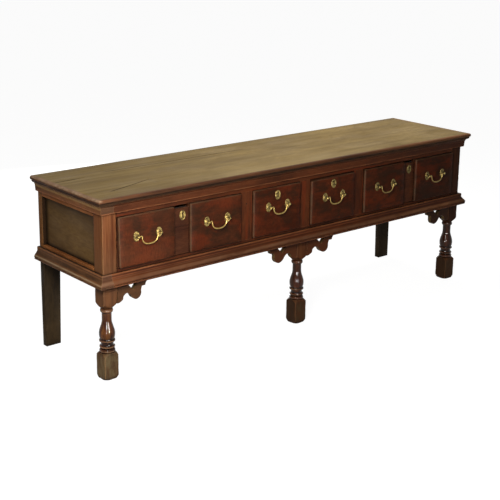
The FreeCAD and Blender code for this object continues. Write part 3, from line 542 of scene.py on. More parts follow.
bare_back_oak = oak(
    "bare_back_oak", "X", (92, 74, 52), (146, 122, 90), (160, 138, 106), seed=21,
    cloud=4.0, wear=0.3, gloss=(0.7, 0.9), shine=0.05, relief=0.55, layer=water_marks,
)
keep("back_rails", bare_back_oak)
keep("back_board", bare_back_oak, 0.5)

# Pegs: cleft oak pins driven through the tenons and pared off flush, with end grain outwards, and
# one round plug that fills an old hole in the left stile.
peg_oak = oak(
    "peg_end_grain", "Y", (38, 22, 13), (82, 50, 30), (110, 76, 48), seed=25,
    cloud=40.0, wear=0.3, gloss=(0.5, 0.7),
)
keep("joint_pegs", peg_oak, 0.4)

# Drawer running gear: bare oak bars between the front and back rails. The runners carry the
# drawer sides and are polished by them, the guides steer them and the kickers stop them tipping.


def rubbed_tracks(wood):
    """Darker tracks that the drawer sides have polished."""
    wood.lay(wood.patchy((0.02, 60.0, 3.0), 0.5, 0.62, 0.0, 0.6), (96, 66, 40))


runner_oak = oak(
    "runner_oak", "Y", (98, 72, 46), (156, 122, 82), (170, 138, 98), seed=31,
    wear=0.4, gloss=(0.5, 0.8), shine=0.06, layer=rubbed_tracks,
)
for name in ("drawer_runners", "drawer_guides", "drawer_kickers"):
    keep(name, runner_oak, 1.0)

# Waist moulding: run in lengths with a plane and nailed to the frame under the drawers, mitred at
# the corners. A flat fascia over a shallow sloping hollow, a round nose and a small bead, greyish tan
# on the slope, partly rubbed wear and partly painted highlight, with dark lines of dirt and painted shade.
# The left front corner was broken off once and is a short renewed piece.
waist_foot = 415.0
waist_patch = 35.0
patch_gap = 0.3


def arc(start, middle, end, steps):
    """Points of the arc through three points, both ends included."""
    a, b, c = complex(*start), complex(*middle), complex(*end)
    lean = (c - a) / (b - a)
    centre = a + (b - a) * (lean - abs(lean) ** 2) / (2j * lean.imag)
    turns = [phase(spot - centre) for spot in (a, b, c)]
    sweep = (turns[2] - turns[0]) % tau
    if (turns[1] - turns[0]) % tau > sweep:
        sweep -= tau
    spots = [centre + (a - centre) * rect(1, sweep * step / steps) for step in range(steps + 1)]
    return [(spot.real, spot.imag) for spot in spots]


def lifted(foot, section):
    """A section drawn from its foot upwards, put at its level: distances out of the frame, and heights."""
    return [(out, foot + height) for out, height in section]


def moulding(name, section, line, length, finish, seed, node, dents):
    """A moulded length: its section carried along a line, with the wear of an old hand-planed run."""
    stations = max(4, round(length / 11))
    rows = []
    for station in range(stations + 1):
        row = []
        for out, level in section:
            x, y = line(out, station / stations)
            if out > 1:
                wave, dent = knocks(x, y, level, 90, seed), knocks(x, y, level * 0.7, 24, seed + 3)
                x, y = line(max(0.0, out - (wave_depth * wave + dents * dent ** 4)), station / stations)
            row.append((x, y, level))
        rows.append(row)
    points, faces = [], []
    tube(points, faces, rows)
    piece(name, points, faces, finish, "carcase", (node,))


def front_line(left, right, mitre_left, mitre_right):
    """Along the front between two places, with the ends mitred where they turn a corner."""
    def line(out, share):
        start = left - (out if mitre_left else 0)
        end = right + (out if mitre_right else 0)
        return start + (end - start) * share, front_face - out
    return line


back_face = back_high[1]


def end_line(side):
    """Along one end, from the mitre at the front to a square cut at the back."""
    def line(out, share):
        front = front_face - out
        return side * (end_face + out), front + (back_face - front) * share
    return line


def run_round(kind, section, patch, finishes, front_node, end_node, seed, dents):
    """One moulding round three sides of the carcase: the renewed corner, the front and the two ends."""
    patch_oak, front_oak, end_oak = finishes
    joint = -end_face + patch
    corner = front_line(-end_face, joint - patch_gap, True, False)
    front = front_line(joint, end_face, False, True)
    moulding(kind + "_corner_patch", section, corner, patch, patch_oak, seed, front_node, dents)
    moulding(kind + "_front_length", section, front, 2 * end_face, front_oak, seed + 1, front_node, dents)
    for name, side in (("_left_end", -1), ("_right_end", 1)):
        length = back_face - front_face
        moulding(kind + name, section, end_line(side), length, end_oak, side + seed + 4, end_node, dents)


waist_bead = [(0, 0), (24.5, 0)] + arc((25.5, 0.4), (28, 3.4), (28.2, 7.4), 6) + [(27, 8.4), (27, 9.6)]
waist_nose = arc((29, 10.2), (29.6, 14), (27.6, 19.5), 7)
waist_slope = arc((26.6, 22), (19, 30.6), (14, 38), 8)
waist_fascia = [(13, 39.6), (13, 48)] + arc((13, 54.4), (11.9, 57), (9.4, 58), 5) + [(0, 58)]
waist_section = lifted(waist_foot, waist_bead + waist_nose + waist_slope + waist_fascia)


def wear_and_light_lines(wood, lines, ledge, ledge_tone):
    """Lines along the moulding: pale ones partly rubbed wear and partly painted highlight, dark ones partly
    dirt and partly painted shade; the ledges darkened by dirt and painted shade.

    Each line has a height over the foot and a half width in millimetres, a share and a tone.
    """
    for height, half, share, tone in lines:
        band = wood.near("Z", (waist_foot + height) * mm, half * mm, 0.35 * half * mm)
        uneven = wood.patchy((0.25, 30.0, 5.0), 0.34, 0.62, 0.35 * share, share)
        wood.lay(wood.times(band, uneven), tone)
    wood.lay(wood.facing("Z", *ledge), ledge_tone)


def slope_wear_and_light(wood):
    """The slope greyish tan and the arrises pale, partly wear and partly painted highlight; the hollow, quirk
    and ledge dark, partly dirt and partly painted shade; the left end painted lighter and the right end
    darker, as painted light falling off from the left.
    """
    # The left end of the front is painted lighter, as painted light.
    wood.lay(wood.ramp("X", -0.95, -1.10, 0.0, 0.35), (140, 82, 50))
    greyish = wood.blend(wood.ramp("X", 0.3, 1.1), (120, 84, 60), (164, 114, 78))
    hollow_dirt_and_shade = wood.blend(wood.ramp("X", -0.9, -0.1), (104, 68, 46), (46, 25, 14))
    # Dark lines here are partly dirt and partly painted shade, pale ones partly wear and partly painted
    # highlight.
    lines = [(23, 9, 0.8, greyish), (35.5, 3.5, 0.7, hollow_dirt_and_shade), (42, 2.4, 0.45, (144, 86, 56))]
    lines += [(47.5, 3.0, 0.6, (56, 29, 17)), (9, 3.2, 0.85, (38, 22, 13)), (5, 3.4, 0.6, (146, 90, 60))]
    lines += [(54.5, 4, 0.75, (156, 98, 62))]
    wear_and_light_lines(wood, lines, (0.9, 0.985, 0.0, 0.85), (44, 26, 15))
    # The right end is painted darker, as painted shade.
    wood.lay(wood.ramp("X", 1.0, 1.13, 0.0, 0.55), (36, 24, 15))


def end_wear_and_light(wood):
    """On the ends the hollow is dark, partly dirt and partly painted shade, and the nose under it pale,
    partly rubbed wear and partly painted highlight.
    """
    lines = [(33, 10, 0.9, (40, 26, 14)), (48, 2.6, 0.6, (52, 31, 18)), (19.5, 4, 0.85, (150, 128, 100))]
    lines += [(9, 3, 0.6, (50, 32, 19)), (54.5, 4, 0.65, (146, 96, 62))]
    wear_and_light_lines(wood, lines, (0.8, 0.97, 0.0, 0.95), (32, 20, 12))


def patch_wear_and_light(wood):
    """The renewed corner is a greyer wood, with the same lines run on across it."""
    # As on the front, dark lines are partly dirt and partly painted shade, pale ones partly wear and partly
    # painted highlight.
    lines = [(24, 8, 0.6, (134, 102, 78)), (35.5, 3.0, 0.6, (66, 42, 28)), (47.5, 2.6, 0.5, (74, 46, 31))]
    lines += [(9.3, 3, 0.75, (56, 35, 22)), (54.5, 3.5, 0.7, (156, 112, 84))]
    wear_and_light_lines(wood, lines, (0.9, 0.985, 0.0, 0.85), (58, 38, 24))


waist_tones = ((58, 28, 12), (101, 50, 23), (146, 99, 60))
waist_oak = oak("waist_front_oak", "X", *waist_tones, seed=41, rounding=4.0, wear=0.75, layer=slope_wear_and_light)
waist_end_oak = oak("waist_end_oak", "Y", (74, 48, 28), (124, 82, 50), (158, 122, 84), seed=42,
                    rounding=4.0, wear=0.5, layer=end_wear_and_light)
waist_patch_oak = oak("waist_patch_oak", "X", (74, 47, 32), (110, 72, 49), (144, 108, 80), seed=43,
                      rounding=4.0, wear=0.7, layer=patch_wear_and_light)
waist_finishes = (waist_patch_oak, waist_oak, waist_end_oak)
run_round("waist", waist_section, waist_patch, waist_finishes,
          "waist_moulding_front", "waist_moulding_ends", seed=1, dents=1.2)

# Brackets: four pieces of oak board under an inch thick, sawn to a scrolled outline and pierced, glued
# and nailed under the rail beside the leg blocks. Sawn edges left plain, faces waxed with the legs.


def sawn_edges(wood):
    """Painted lighter on the left like the legs, as painted light falling off from the left, with drier,
    paler wood along the sawn edges.
    """
    # Lighter towards the left, as painted light.
    wood.lay(wood.ramp("X", -0.4, -1.0, 0.0, 0.5), (104, 72, 47))
    wood.lay(wood.near("X", 0.0, 0.4, 0.15, 0.0, 0.4), (118, 64, 36))
    wood.lay(wood.facing("Y", -0.9, -0.3, 0.0, 0.7), (98, 79, 48))


bracket_oak = oak("sawn_bracket_oak", "X", (48, 27, 15), (92, 54, 32), (120, 86, 56), seed=47,
                  wear=0.4, gloss=(0.42, 0.6), dirt=0.3, recess=10.0, layer=sawn_edges)
keep("leg_brackets", bracket_oak, 1.6)

# Cornice: a second run moulding under the top, a tall leaning band and a hollow, mitred at the
# corners and nailed to the frame. Its left front corner is a short renewed piece too.
cornice_foot = 729.0
cornice_patch = 50.0
cornice_height = top_underside - cornice_foot
band_head = cornice_foot + 30
cornice_band = [(0, 0), (8.4, 0)] + arc((9, 0), (10.8, 0.7), (11.5, 2.5), 4)
cornice_band += [(11.8, 7), (12.6, 18), (13.5, 29.4), (14.6, 30)]
cornice_hollow = arc((15, 30.3), (17.9, 38.1), (25, cornice_height - 2.5), 8)
cornice_hollow += [(25, cornice_height), (0, cornice_height)]
cornice_section = lifted(cornice_foot, cornice_band + cornice_hollow)


def cornice_lines(wood):
    """A pale rubbed lower arris, painted shade in the hollow under the top, and painted shade towards the
    right.
    """
    arris = wood.near("Z", cornice_foot * mm + 0.002, 0.0045, 0.0015)
    wood.lay(wood.times(arris, wood.patchy((0.2, 34.0), 0.35, 0.6, 0.3, 0.8)), (158, 98, 62))
    # Darker towards the hollow under the top, as painted shade.
    wood.lay(wood.ramp("Z", band_head * mm + 0.005, top_underside * mm, 0.0, 0.5), (50, 32, 20))
    # Darker towards the right, as painted light falling off from the left.
    wood.lay(wood.ramp("X", 0.3, 1.1, 0.0, 0.4), (38, 22, 14))


def cornice_end_lines(wood):
    """As the front, with the upper half of the band painted a lighter olive tan, as painted light where the
    leaning band faces up.
    """
    # Painted light on the upper half of the band.
    wood.lay(wood.near("Z", band_head * mm - 0.001, 0.009, 0.004, 0.0, 0.85), (146, 112, 70))
    cornice_lines(wood)


cornice_tones = ((63, 32, 16), (117, 63, 35), (154, 106, 70))
cornice_oak = oak("cornice_front_oak", "X", *cornice_tones, seed=51, layer=cornice_lines)
cornice_end_oak = oak("cornice_end_oak", "Y", (78, 49, 28), (132, 84, 49), (160, 120, 82), seed=52,
                      layer=cornice_end_lines)
cornice_patch_oak = oak("cornice_patch_oak", "X", (74, 49, 33), (114, 78, 54), (146, 110, 78), seed=53,
                        layer=cornice_lines)
cornice_finishes = (cornice_patch_oak, cornice_oak, cornice_end_oak)
run_round("cornice", cornice_section, cornice_patch, cornice_finishes,
          "cornice_front", "cornice_ends", seed=11, dents=0.8)

# Top: two wide oak planks, edge to edge, nailed down to the frame, with a rounded nose and a small
# bead worked along the front and both ends. Faded to a streaky olive tan, with shrinkage: the joint
# has opened along its left half, and two old cracks have opened near the left end.
overhang = 37.0
nose_line = 28.0
worked_from = 20.0
plan_round = 8.0
end_dents, front_dents, face_sag = 1.4, 1.6, 0.7
plank_joint = limits("top_back_plank")[0][1]
top_level = limits("top_front_plank")[1][2]
top_bead = [(0, 0), (27, 0)] + arc((27, 0.2), (29.9, 4), (27, 7.8), 6) + [(27, 8), (29.5, 8)]
top_nose = arc((30, 8.2), (overhang, 16.5), (nose_line, top_level - top_underside), 14)
top_section = lifted(top_underside, top_bead + top_nose)


def eased_corner(x, y):
    """The front corners of the top, rounded in plan by wear."""
    side = copysign(1.0, x)
    centre_x, centre_y = end_face + overhang - plan_round, front_face - overhang + plan_round
    run, rise = side * x - centre_x, centre_y - y
    if run <= 0 or rise <= 0:
        return x, y
    reach = max(run, rise) / hypot(run, rise)
    return side * (centre_x + run * reach), centre_y - rise * reach


gap_from, gap_to = -900, 20


def joint_gap(x):
    """Half the width of the open joint: widest in the left half, closed towards the right."""
    share = min(max((x - gap_from) / 160, 0.0), 1.0) * min(max((gap_to - x) / 260, 0.0), 1.0)
    return 0.1 + 1.5 * share * (0.6 + 0.8 * knocks(x, 0, 0, 90, 4))


cracks = (
    {"from": (-1150.0, 98.0), "to": (-985.0, 104.0), "width": 5.0, "depth": 7.0},
    {"from": (-1040.0, -172.0), "to": (-770.0, -84.0), "width": 4.0, "depth": 5.0},
)


def crack_at(crack, x):
    """Middle and depth of a crack at a place along the top."""
    (x0, y0), (x1, y1) = crack["from"], crack["to"]
    share = min(max((x - x0) / (x1 - x0), 0.0), 1.0)
    fade = min(1.0, 8 * (1 - share)) * min(1.0, 0.4 + 6 * share) if x < x1 else 0.0
    sway = 5.0 * (knocks(x, y0, 0, 45, 6) - 0.5)
    return y0 + (y1 - y0) * share + sway, crack["depth"] * fade


def top_plank(name, front, back, worked_front, finish):
    """One plank: its worked edges first, then its face, then its square edges and underside."""
    points, faces = [], []
    run_parts, length_parts = 16, 170
    ends = {}
    for side in (-1, 1):
        rows = []
        for part in range(run_parts + 1):
            row = []
            for out, level in top_section:
                wave, dent = knocks(side, part * 30, level, 80, 3), knocks(side * 9, part * 25, level, 20, 5)
                lost = wave_depth * wave + end_dents * dent ** 4 if out > worked_from else 0.0
                gap = joint_gap(side * end_face)
                start, stop = (front - out, back - gap) if worked_front else (front + gap, back)
                y = start + (stop - start) * part / run_parts
                row.append((*eased_corner(side * (end_face + out - lost), y), level))
            rows.append(row)
        ends[side] = rows
        strip(points, faces, rows)
    if worked_front:
        rows = []
        for part in range(length_parts + 1):
            row = []
            for out, level in top_section:
                reach = end_face + out
                x = -reach + 2 * reach * part / length_parts
                wave, dent = knocks(x, 0, level, 90, 7), knocks(x, 0, level, 22, 8)
                lost = wave_depth * wave + front_dents * dent ** 4 if out > worked_from else 0.0
                row.append((*eased_corner(x, front_face - out + lost), level))
            rows.append(row)
        rows[0], rows[-1] = ends[-1][0], ends[1][0]
        strip(points, faces, rows)
    lanes = range(run_parts + 1)
    face_rows = []
    for lane in lanes:
        row = []
        left, right = ends[-1][lane][-1], ends[1][lane][-1]
        for part in range(length_parts + 1):
            share = part / length_parts
            x, y = left[0] + (right[0] - left[0]) * share, left[1]
            if worked_front and lane == 0:
                x, y = rows[part][-1][:2]
            if worked_front and lane == run_parts:
                y = plank_joint - joint_gap(x)
            if not worked_front and lane == 0:
                y = plank_joint + joint_gap(x)
            inside = 0 < lane < run_parts and 0 < part < length_parts
            sag = face_sag * knocks(x, y, 0, 160, 9) if inside else 0.0
            row.append([x, y, top_level - sag])
        face_rows.append(row)
    if worked_front:
        for crack in cracks:
            halfway = (crack["from"][1] + crack["to"][1]) / 2
            near = min(lanes[2:-2], key=lambda lane: abs(face_rows[lane][10][1] - halfway))
            for part in range(1, length_parts):
                middle, depth = crack_at(crack, face_rows[near][part][0])
                if depth <= 0:
                    continue
                face_rows[near - 1][part][1] = middle - crack["width"] / 2
                face_rows[near][part][1:] = middle, top_level - depth
                face_rows[near + 1][part][1] = middle + crack["width"] / 2
    strip(points, faces, face_rows)
    for edge in (-1,) if worked_front else (0, -1):
        cap(points, faces, face_rows[edge] + ends[1][edge][-2::-1] + ends[-1][edge][:-1])
    front_rows = rows[1:-1] if worked_front else []
    cap(points, faces, [row[0] for row in ends[-1][::-1] + front_rows + ends[1]])
    piece(name, points, faces, finish, "carcase", (name,))


def dirty_line(wood, crack, half):
    """Dark dirt along a crack, as wide on each side as its half width in metres."""
    (x0, y0), (x1, y1) = crack["from"], crack["to"]
    slope = (y1 - y0) / (x1 - x0)
    across = wood.maths("MULTIPLY_ADD", wood.along("X"), -slope, wood.along("Y"))
    near = wood.between(wood.apart(across, (y0 - slope * x0) * mm), half, 0.3 * half)
    begun, ended = wood.ramp("X", x0 * mm, (x0 + 20) * mm), wood.ramp("X", x1 * mm, (x1 - 60) * mm)
    return wood.times(wood.times(begun, ended), near)


def faded_top(wood):
    """Darker towards the left, painted in place of the reflection that brightens the right, with old stains,
    dirt in the joint and the cracks, a paler patch at the front middle, a brown worked edge whose crown on
    the ends is pale, partly rubbed wear and partly painted highlight, and painted shade under the nose.
    """
    # Darker towards the left: painted in place of the reflection that brightens the right of the top.
    wood.lay(wood.ramp("X", -0.15, -0.95, 0.0, 0.75), (92, 74, 40))
    wood.lay(wood.patchy((0.03, 30.0, 5.0, 0.3), 0.42, 0.62, 0.0, 0.35), (146, 125, 80))
    wood.lay(wood.patchy((0.5, 8.0, 6.0, 0.8), 0.52, 0.68, 0.0, 0.5), (98, 79, 46))
    open_joint = {"from": (-880.0, plank_joint), "to": (-40.0, plank_joint)}
    for crack, half in ((open_joint, 0.004), (cracks[0], 0.006), (cracks[1], 0.005)):
        wood.lay(wood.times(dirty_line(wood, crack, half), 0.92), (36, 27, 15))
    wood.lay(wood.ramp("Y", (back_face - 8) * mm, (back_face - 2) * mm, 0.0, 0.7), (64, 52, 29))
    # A paler patch at the front of the middle of the top.
    pale_front_middle = wood.times(wood.near("X", -0.1, 0.65, 0.25), wood.ramp("Y", 0.0, -0.2))
    wood.lay(wood.times(pale_front_middle, 0.4), (158, 136, 92))
    front = wood.ramp("Y", (front_face - 14) * mm, (front_face - 27) * mm)
    ends = wood.near("X", 0.0, (end_face + 14) * mm, (end_face + 27) * mm)
    edge = wood.maths("MAXIMUM", front, ends)
    brown = wood.blend(wood.patchy((0.1, 30.0), 0.35, 0.65), (60, 36, 22), (100, 63, 40))
    wood.lay(edge, wood.blend(wood.ramp("X", 0.3, 1.1, 0.0, 0.8), brown, (134, 92, 62)))
    # The crown of the nose on the ends is pale, partly rubbed wear and partly painted highlight.
    crown = wood.near("Z", top_level * mm - 0.003, 0.006, 0.002, 0.0, 0.9)
    rubbed = wood.patchy((1.0, 22.0, 5.0), 0.36, 0.6, 0.35, 0.9)
    wood.lay(wood.times(wood.times(crown, rubbed), ends), (150, 125, 100))
    # The lower part of the nose is painted darker, as painted shade under it.
    below = wood.ramp("Z", top_level * mm - 0.0105, top_level * mm - 0.0145, 0.0, 0.8)
    wood.lay(wood.times(below, edge), (44, 29, 17))


top_oak = oak(
    "faded_top_oak", "X", (104, 85, 51), (148, 126, 83), (140, 106, 70), seed=61, figure=0.4,
    mottle=0.45, wear=0.4, rounding=4.0, gloss=(0.5, 0.7), shine=0.05, dirt=0.6, layer=faded_top,
)
top_plank("top_front_plank", front_face, plank_joint, True, top_oak)
top_plank("top_back_plank", plank_joint, back_face, False, top_oak)

# Drawer boxes: a front board that shows as the bare recessed strip between the raised fields, and
# bare oak sides, back and bottom, lapped and grooved together, clean and pale inside.
# Strong dirt and a short recess darken the strip beside the fields, partly dirt and partly painted shade.
strip_oak = oak("drawer_strip_oak", "X", (56, 29, 17), (106, 60, 36), (140, 100, 68), seed=71,
                figure=0.2, dirt=0.95, recess=16.0)
lining_oak = {
    grain: oak("drawer_lining_oak_" + grain, grain, (126, 96, 62), (176, 142, 98), (182, 150, 108),
               seed=72 + number, wear=0.35, gloss=(0.6, 0.8), shine=0.06)
    for number, grain in enumerate("XY")
}
drawers = (1, 2, 3, 4)
for number in drawers:
    keep("drawer_%d_front" % number, strip_oak)
    keep("drawer_%d_sides" % number, lining_oak["Y"])
    keep("drawer_%d_back" % number, lining_oak["X"])
    keep("drawer_%d_bottom" % number, lining_oak["X"], 0.5)

# Raised fields: six slabs of oak planted on the drawer fronts, grain running along, with their
# front arrises rounded over and rubbed grey by long dusting. Mottled red brown.
narrow_low, narrow_high = limits("drawer_2_fields")
field_width = narrow_high[0] - narrow_low[0]
field_arris = 6.5
well_half, well_down, well_up = 6, 13, 14
keyhole_levels = {1: 660.0, 2: 671.0, 3: 671.0, 4: 660.0}
field_lift = {1: 2.6, 2: 2.8, 3: 0.0, 4: 0.6}
field_sag = {3: 4.0}
field_tuck = {1: 4.0}
field_tones = {number: ((62, 32, 18), (104, 55, 32)) for number in (1, 2)}
field_tones[3] = ((64, 28, 14), (111, 51, 27))
field_tones[4] = ((66, 30, 16), (115, 54, 29))
field_tones[5] = ((63, 29, 16), (109, 53, 29))
# The rightmost field is painted darker, as painted light falling off from the left.
field_tones[6] = ((46, 23, 13), (80, 41, 24))


def handled_patch(wood):
    """Darker, greener wax in lumps where hands have been, redder wood between, arrises rubbed grey, and
    painted shade low on the sides next to the strip.
    """
    wood.lay(wood.patchy((0.7, 14.0, 7.0, 0.8), 0.47, 0.60, 0.0, 0.7), (50, 33, 21))
    wood.lay(wood.patchy((0.5, 12.0, 6.0, 0.3), 0.50, 0.64, 0.0, 0.55), (118, 48, 23))
    low = wood.times(wood.ramp("Z", 0.60, 0.51, 0.0, 0.4), wood.ramp("X", -0.70, -0.85))
    wood.lay(low, (128, 68, 42))
    wood.lay(wood.patchy((3.0, 60.0, 4.0), 0.45, 0.62, 0.0, 0.35), (54, 34, 22))
    edge = wood.facing("Y", -0.95, -0.6)
    proud = wood.ramp("Y", narrow_high[1] * mm - 0.003, narrow_low[1] * mm + 0.005)
    uneven = wood.patchy((0.2, 30.0, 5.0), 0.36, 0.62, 0.3, 0.8)
    # The sides of the field next to the strip are painted dark, as painted shade.
    wood.lay(wood.times(edge, wood.between(proud, 0.6, 0.0, 0.0, 0.8)), (34, 20, 13))
    wood.lay(wood.times(wood.times(edge, proud), uneven), (98, 77, 58))


def sagged(left, low, high, drop, tuck):
    """Lowers the upper left corner of a field, and draws in its lower left edge, where it has shrunk away."""
    def form(x, y, z):
        share = max(0.0, 1 - (x - left) / field_width)
        drawn = tuck * max(0.0, 1 - (x - left) / 60) * (high - z) / (high - low)
        return x + drawn, y, z - drop * share * (z - low) / (high - low)
    return form


field_number = 0
handle_middles = {}
lock_middles = {}
for number in drawers:
    node = "drawer_%d_fields" % number
    low, high = limits(node)
    lock_low, lock_high = limits("drawer_%d_lock" % number)
    lock_middles[number] = (lock_low[0] + lock_high[0]) / 2
    lefts = sorted({round(low[0], 3), round(high[0] - field_width, 3)})
    handle_middles[number] = [left + field_width / 2 for left in lefts]
    for left in lefts:
        field_number += 1
        field_oak = oak(
            "field_oak_%d" % field_number, "X", *field_tones[field_number], (140, 112, 84),
            seed=80 + 3 * field_number, cloud=7.0, mottle=0.5, rounding=7.0, wear=0.5, shine=0.025,
            dirt=0.45, recess=14.0, layer=handled_patch,
        )
        well = None
        if len(lefts) == 1:
            middle, level = lock_middles[number], keyhole_levels[number]
            well = (middle - well_half, middle + well_half, level - well_down, level + well_up)
        top = high[2] + field_lift[number]
        form = sagged(left, low[2], top, field_sag.get(number, 0.0), field_tuck.get(field_number, 0.0))
        near, far = (left, low[1], low[2]), (left + field_width, high[1] + field_arris, top)
        board("raised_field_%d" % field_number, near, far, field_arris, field_oak,
              "drawer_%d" % number, node, form, chip=1.6, seed=field_number, step=24.0, wave=0.7, well=well)

# Locks: plain iron cases let into the backs of the fronts, each with a flat bolt that the key shoots
# up into the top rail. Dull dark iron, rust-brown in the corners and bright on the edges.


def metal(name, dark, pale, seed, rubbed, roughness, relief, size, hollow=5.0):
    """Old metal: clouded tone, dirt in the corners, bright on the edges, faintly pitted."""
    coat = Finish(name, "", seed)
    clouds = coat.patchy((1.0, size, 5.0, 0.4), 0.36, 0.64)
    coat.colour = coat.blend(clouds, dark, pale)
    coat.lay(coat.between(coat.corners(hollow), 0.9, 0.35, 0.0, 0.8), dark)
    coat.lay(coat.times(coat.arrises(0.8), 0.6), rubbed)
    coat.shader.inputs["Metallic"].default_value = 1.0
    dull = coat.between(clouds, 0.0, 1.0, roughness[1], roughness[0])
    return coat.done(dull, coat.cloudy(1.0, size * 6, 4.0), relief, 0.2)


iron = metal("dull_iron", (58, 46, 40), (112, 106, 100), 101, (150, 146, 140), (0.45, 0.7), 0.5, 60.0)
for number in drawers:
    keep("drawer_%d_lock" % number, iron, 0.5)
    keep("drawer_%d_lock_bolt" % number, iron, 0.6)

# Handle brasses: cast posts with ball ends, through the fronts and held by nuts inside, each over an
# oval plate with a scalloped edge; and oval keyhole plates, nailed on. Yellow brass, dark in hollows.
field_face = limits("drawer_1_fields")[0][1]
strip_face = limits("drawer_1_fields")[1][1]
front_back = limits("drawer_1_front")[1][1]
post_spacing = 115.0
pivot_standoff = 17.0
ball = 7.0
plate_half = (15.5, 23.0)
plate_lobes = 14
plate_seat = 11.0
keyplate_half = (15.5, 22.0)
keyplate_turns = 96
# Brasses are painted darker drawer by drawer towards the right, as painted light falling off from the left.
brass_shade_by_drawer = {1: 1.0, 2: 0.94, 3: 0.86, 4: 0.74}


def brass(name, seed, tarnish_and_shade, roughness, dark, hollow):
    """Rubbed yellow brass, brought down evenly by a share that is partly dullness and partly painted shade,
    and dark in its hollows.
    """
    tones = [tuple(value * tarnish_and_shade for value in tone) for tone in (dark, (176, 151, 88), (206, 186, 126))]
    dark, pale, rubbed = tones
    return metal(name, dark, pale, seed, rubbed, roughness, 0.25, 90.0, hollow)


def spun(points, faces, middle, level, outline, parts=24):
    """A turned piece on a level axis: places along the depth, with a radius at each."""
    turns = [tau * part / parts for part in range(parts)]
    rows = [[(middle + r * sin(t), depth, level + r * cos(t)) for t in turns] for depth, r in outline]
    tube(points, faces, rows)


def rosette(points, faces, middle, level):
    """Scalloped oval plate: a beaded rim, a fluted hollow and a domed seat for the post."""
    around = plate_lobes * 8
    steps = ((1.0, 0.0), (1.0, 1.0), (0.97, 1.8), (0.92, 2.2), (0.87, 1.7), (0.82, 0.7))
    steps += ((0.68, 0.4), (0.57, 0.6), (0.52, 1.6), (0.42, 2.8), (0.34, 3.4), (0.28, 3.6))
    rows = []
    for share, rise in steps:
        row = []
        for part in range(around):
            angle = tau * part / around
            scallop = abs(cos(angle * plate_lobes / 2))
            trim = 1.5 * (1 - scallop) * max(0.0, share - 0.5) * 2
            flute = 0.45 * scallop * (1 if 0.6 < share < 0.95 else 0)
            across, up = [share * half - trim for half in plate_half]
            if share < 0.6:
                across = up = share / 0.56 * plate_seat
            x, z = middle + across * sin(angle), level + up * cos(angle)
            row.append((x, field_face - rise - flute, z))
        rows.append(row)
    tube(points, faces, rows)


def handle_post(points, faces, middle, level):
    """Post: a flared foot, a waist, a collar and a ball that holds the bail."""
    pivot = field_face - pivot_standoff
    stem = ((3.4, 6.6), (4.6, 6.2), (5.4, 4.6), (7.2, 3.9), (8.6, 4.0), (9.2, 5.0), (10.0, 5.2))
    outline = [(field_face - out, radius) for out, radius in stem] + [(pivot + 6.0, 4.0)]
    for step in range(2, 11):
        angle = pi * step / 11
        outline.append((pivot + ball * cos(angle), ball * sin(angle)))
    outline.append((pivot - ball * 0.995, 0.7))
    spun(points, faces, middle, level, outline)


def handle_nut(points, faces, middle, level):
    """Six-sided nut and the end of the threaded shank, inside the drawer."""
    nut = [(front_back, 7.4), (front_back + 3.2, 7.4), (front_back + 4.0, 6.6)]
    spun(points, faces, middle, level, nut, parts=6)
    shank = [(front_back + 3.5, 3.0), (front_back + 5.5, 3.0), (front_back + 6.0, 2.5)]
    spun(points, faces, middle, level, shank, parts=16)


keyhole_eye = 5.0
keyhole_rise = 8.0
keyhole_slot = (3.0, 12.0)


def keyhole_reach(angle):
    """How far the keyhole reaches from the middle of its plate; straight up is no turn."""
    side = keyhole_slot[0] / max(abs(sin(angle)), 0.001)
    end = keyhole_slot[1] / -cos(angle) if cos(angle) < -0.001 else side
    reach = min(side, end)
    beside = keyhole_rise * abs(sin(angle))
    if cos(angle) > 0 and beside < keyhole_eye:
        eye_end = keyhole_rise * cos(angle) + sqrt(keyhole_eye ** 2 - beside ** 2)
        reach = max(min(side, keyhole_rise), eye_end)
    return reach


def keyhole_plate(points, faces, middle, level, face):
    """Oval keyhole plate with a raised rim, a gentle dome and a pierced keyhole."""
    turns = [tau * part / keyplate_turns for part in range(keyplate_turns)]
    steps = ((1.0, 0.0), (1.0, 0.6), (0.97, 1.2), (0.90, 1.6), (0.82, 1.3))
    steps += ((0.75, 0.9), (0.5, 1.2), (0.2, 1.5), (0.0, 1.6))
    rows = []
    for share, rise in steps:
        row = []
        for t in turns:
            inner = keyhole_reach(t)
            rim = (keyplate_half[0] * sin(t), keyplate_half[1] * cos(t))
            hole = (inner * sin(t), inner * cos(t))
            x, z = [hole[n] + (rim[n] - hole[n]) * share for n in range(2)]
            row.append((middle + x, face - rise, level + z))
        rows.append(row)
    rows.append([(x, face + 0.2, z) for x, y, z in rows[-1]])
    strip(points, faces, rows, ring=True)


handle_levels = {}
for joint in frame["joints"]:
    if joint["name"].startswith("bail"):
        handle_levels[int(joint["parent"].split("_")[1])] = joint["pos_m"][2] / mm
for number in drawers:
    points, faces = [], []
    for middle in handle_middles[number]:
        for x in (middle - post_spacing / 2, middle + post_spacing / 2):
            rosette(points, faces, x, handle_levels[number])
            handle_post(points, faces, x, handle_levels[number])
            handle_nut(points, faces, x, handle_levels[number])
    face = strip_face if len(handle_middles[number]) > 1 else field_face
    keyhole_plate(points, faces, lock_middles[number], keyhole_levels[number], face)
    dulled_and_shaded = 0.84 * brass_shade_by_drawer[number]
    old_brass = brass("old_brass_%d" % number, 110 + number, dulled_and_shaded, (0.44, 0.60), (36, 26, 14), 9.0)
    piece("handle_brasses_%d" % number, points, faces, old_brass, "drawer_%d" % number,
          ("drawer_%d_brasses" % number,), crease=32)

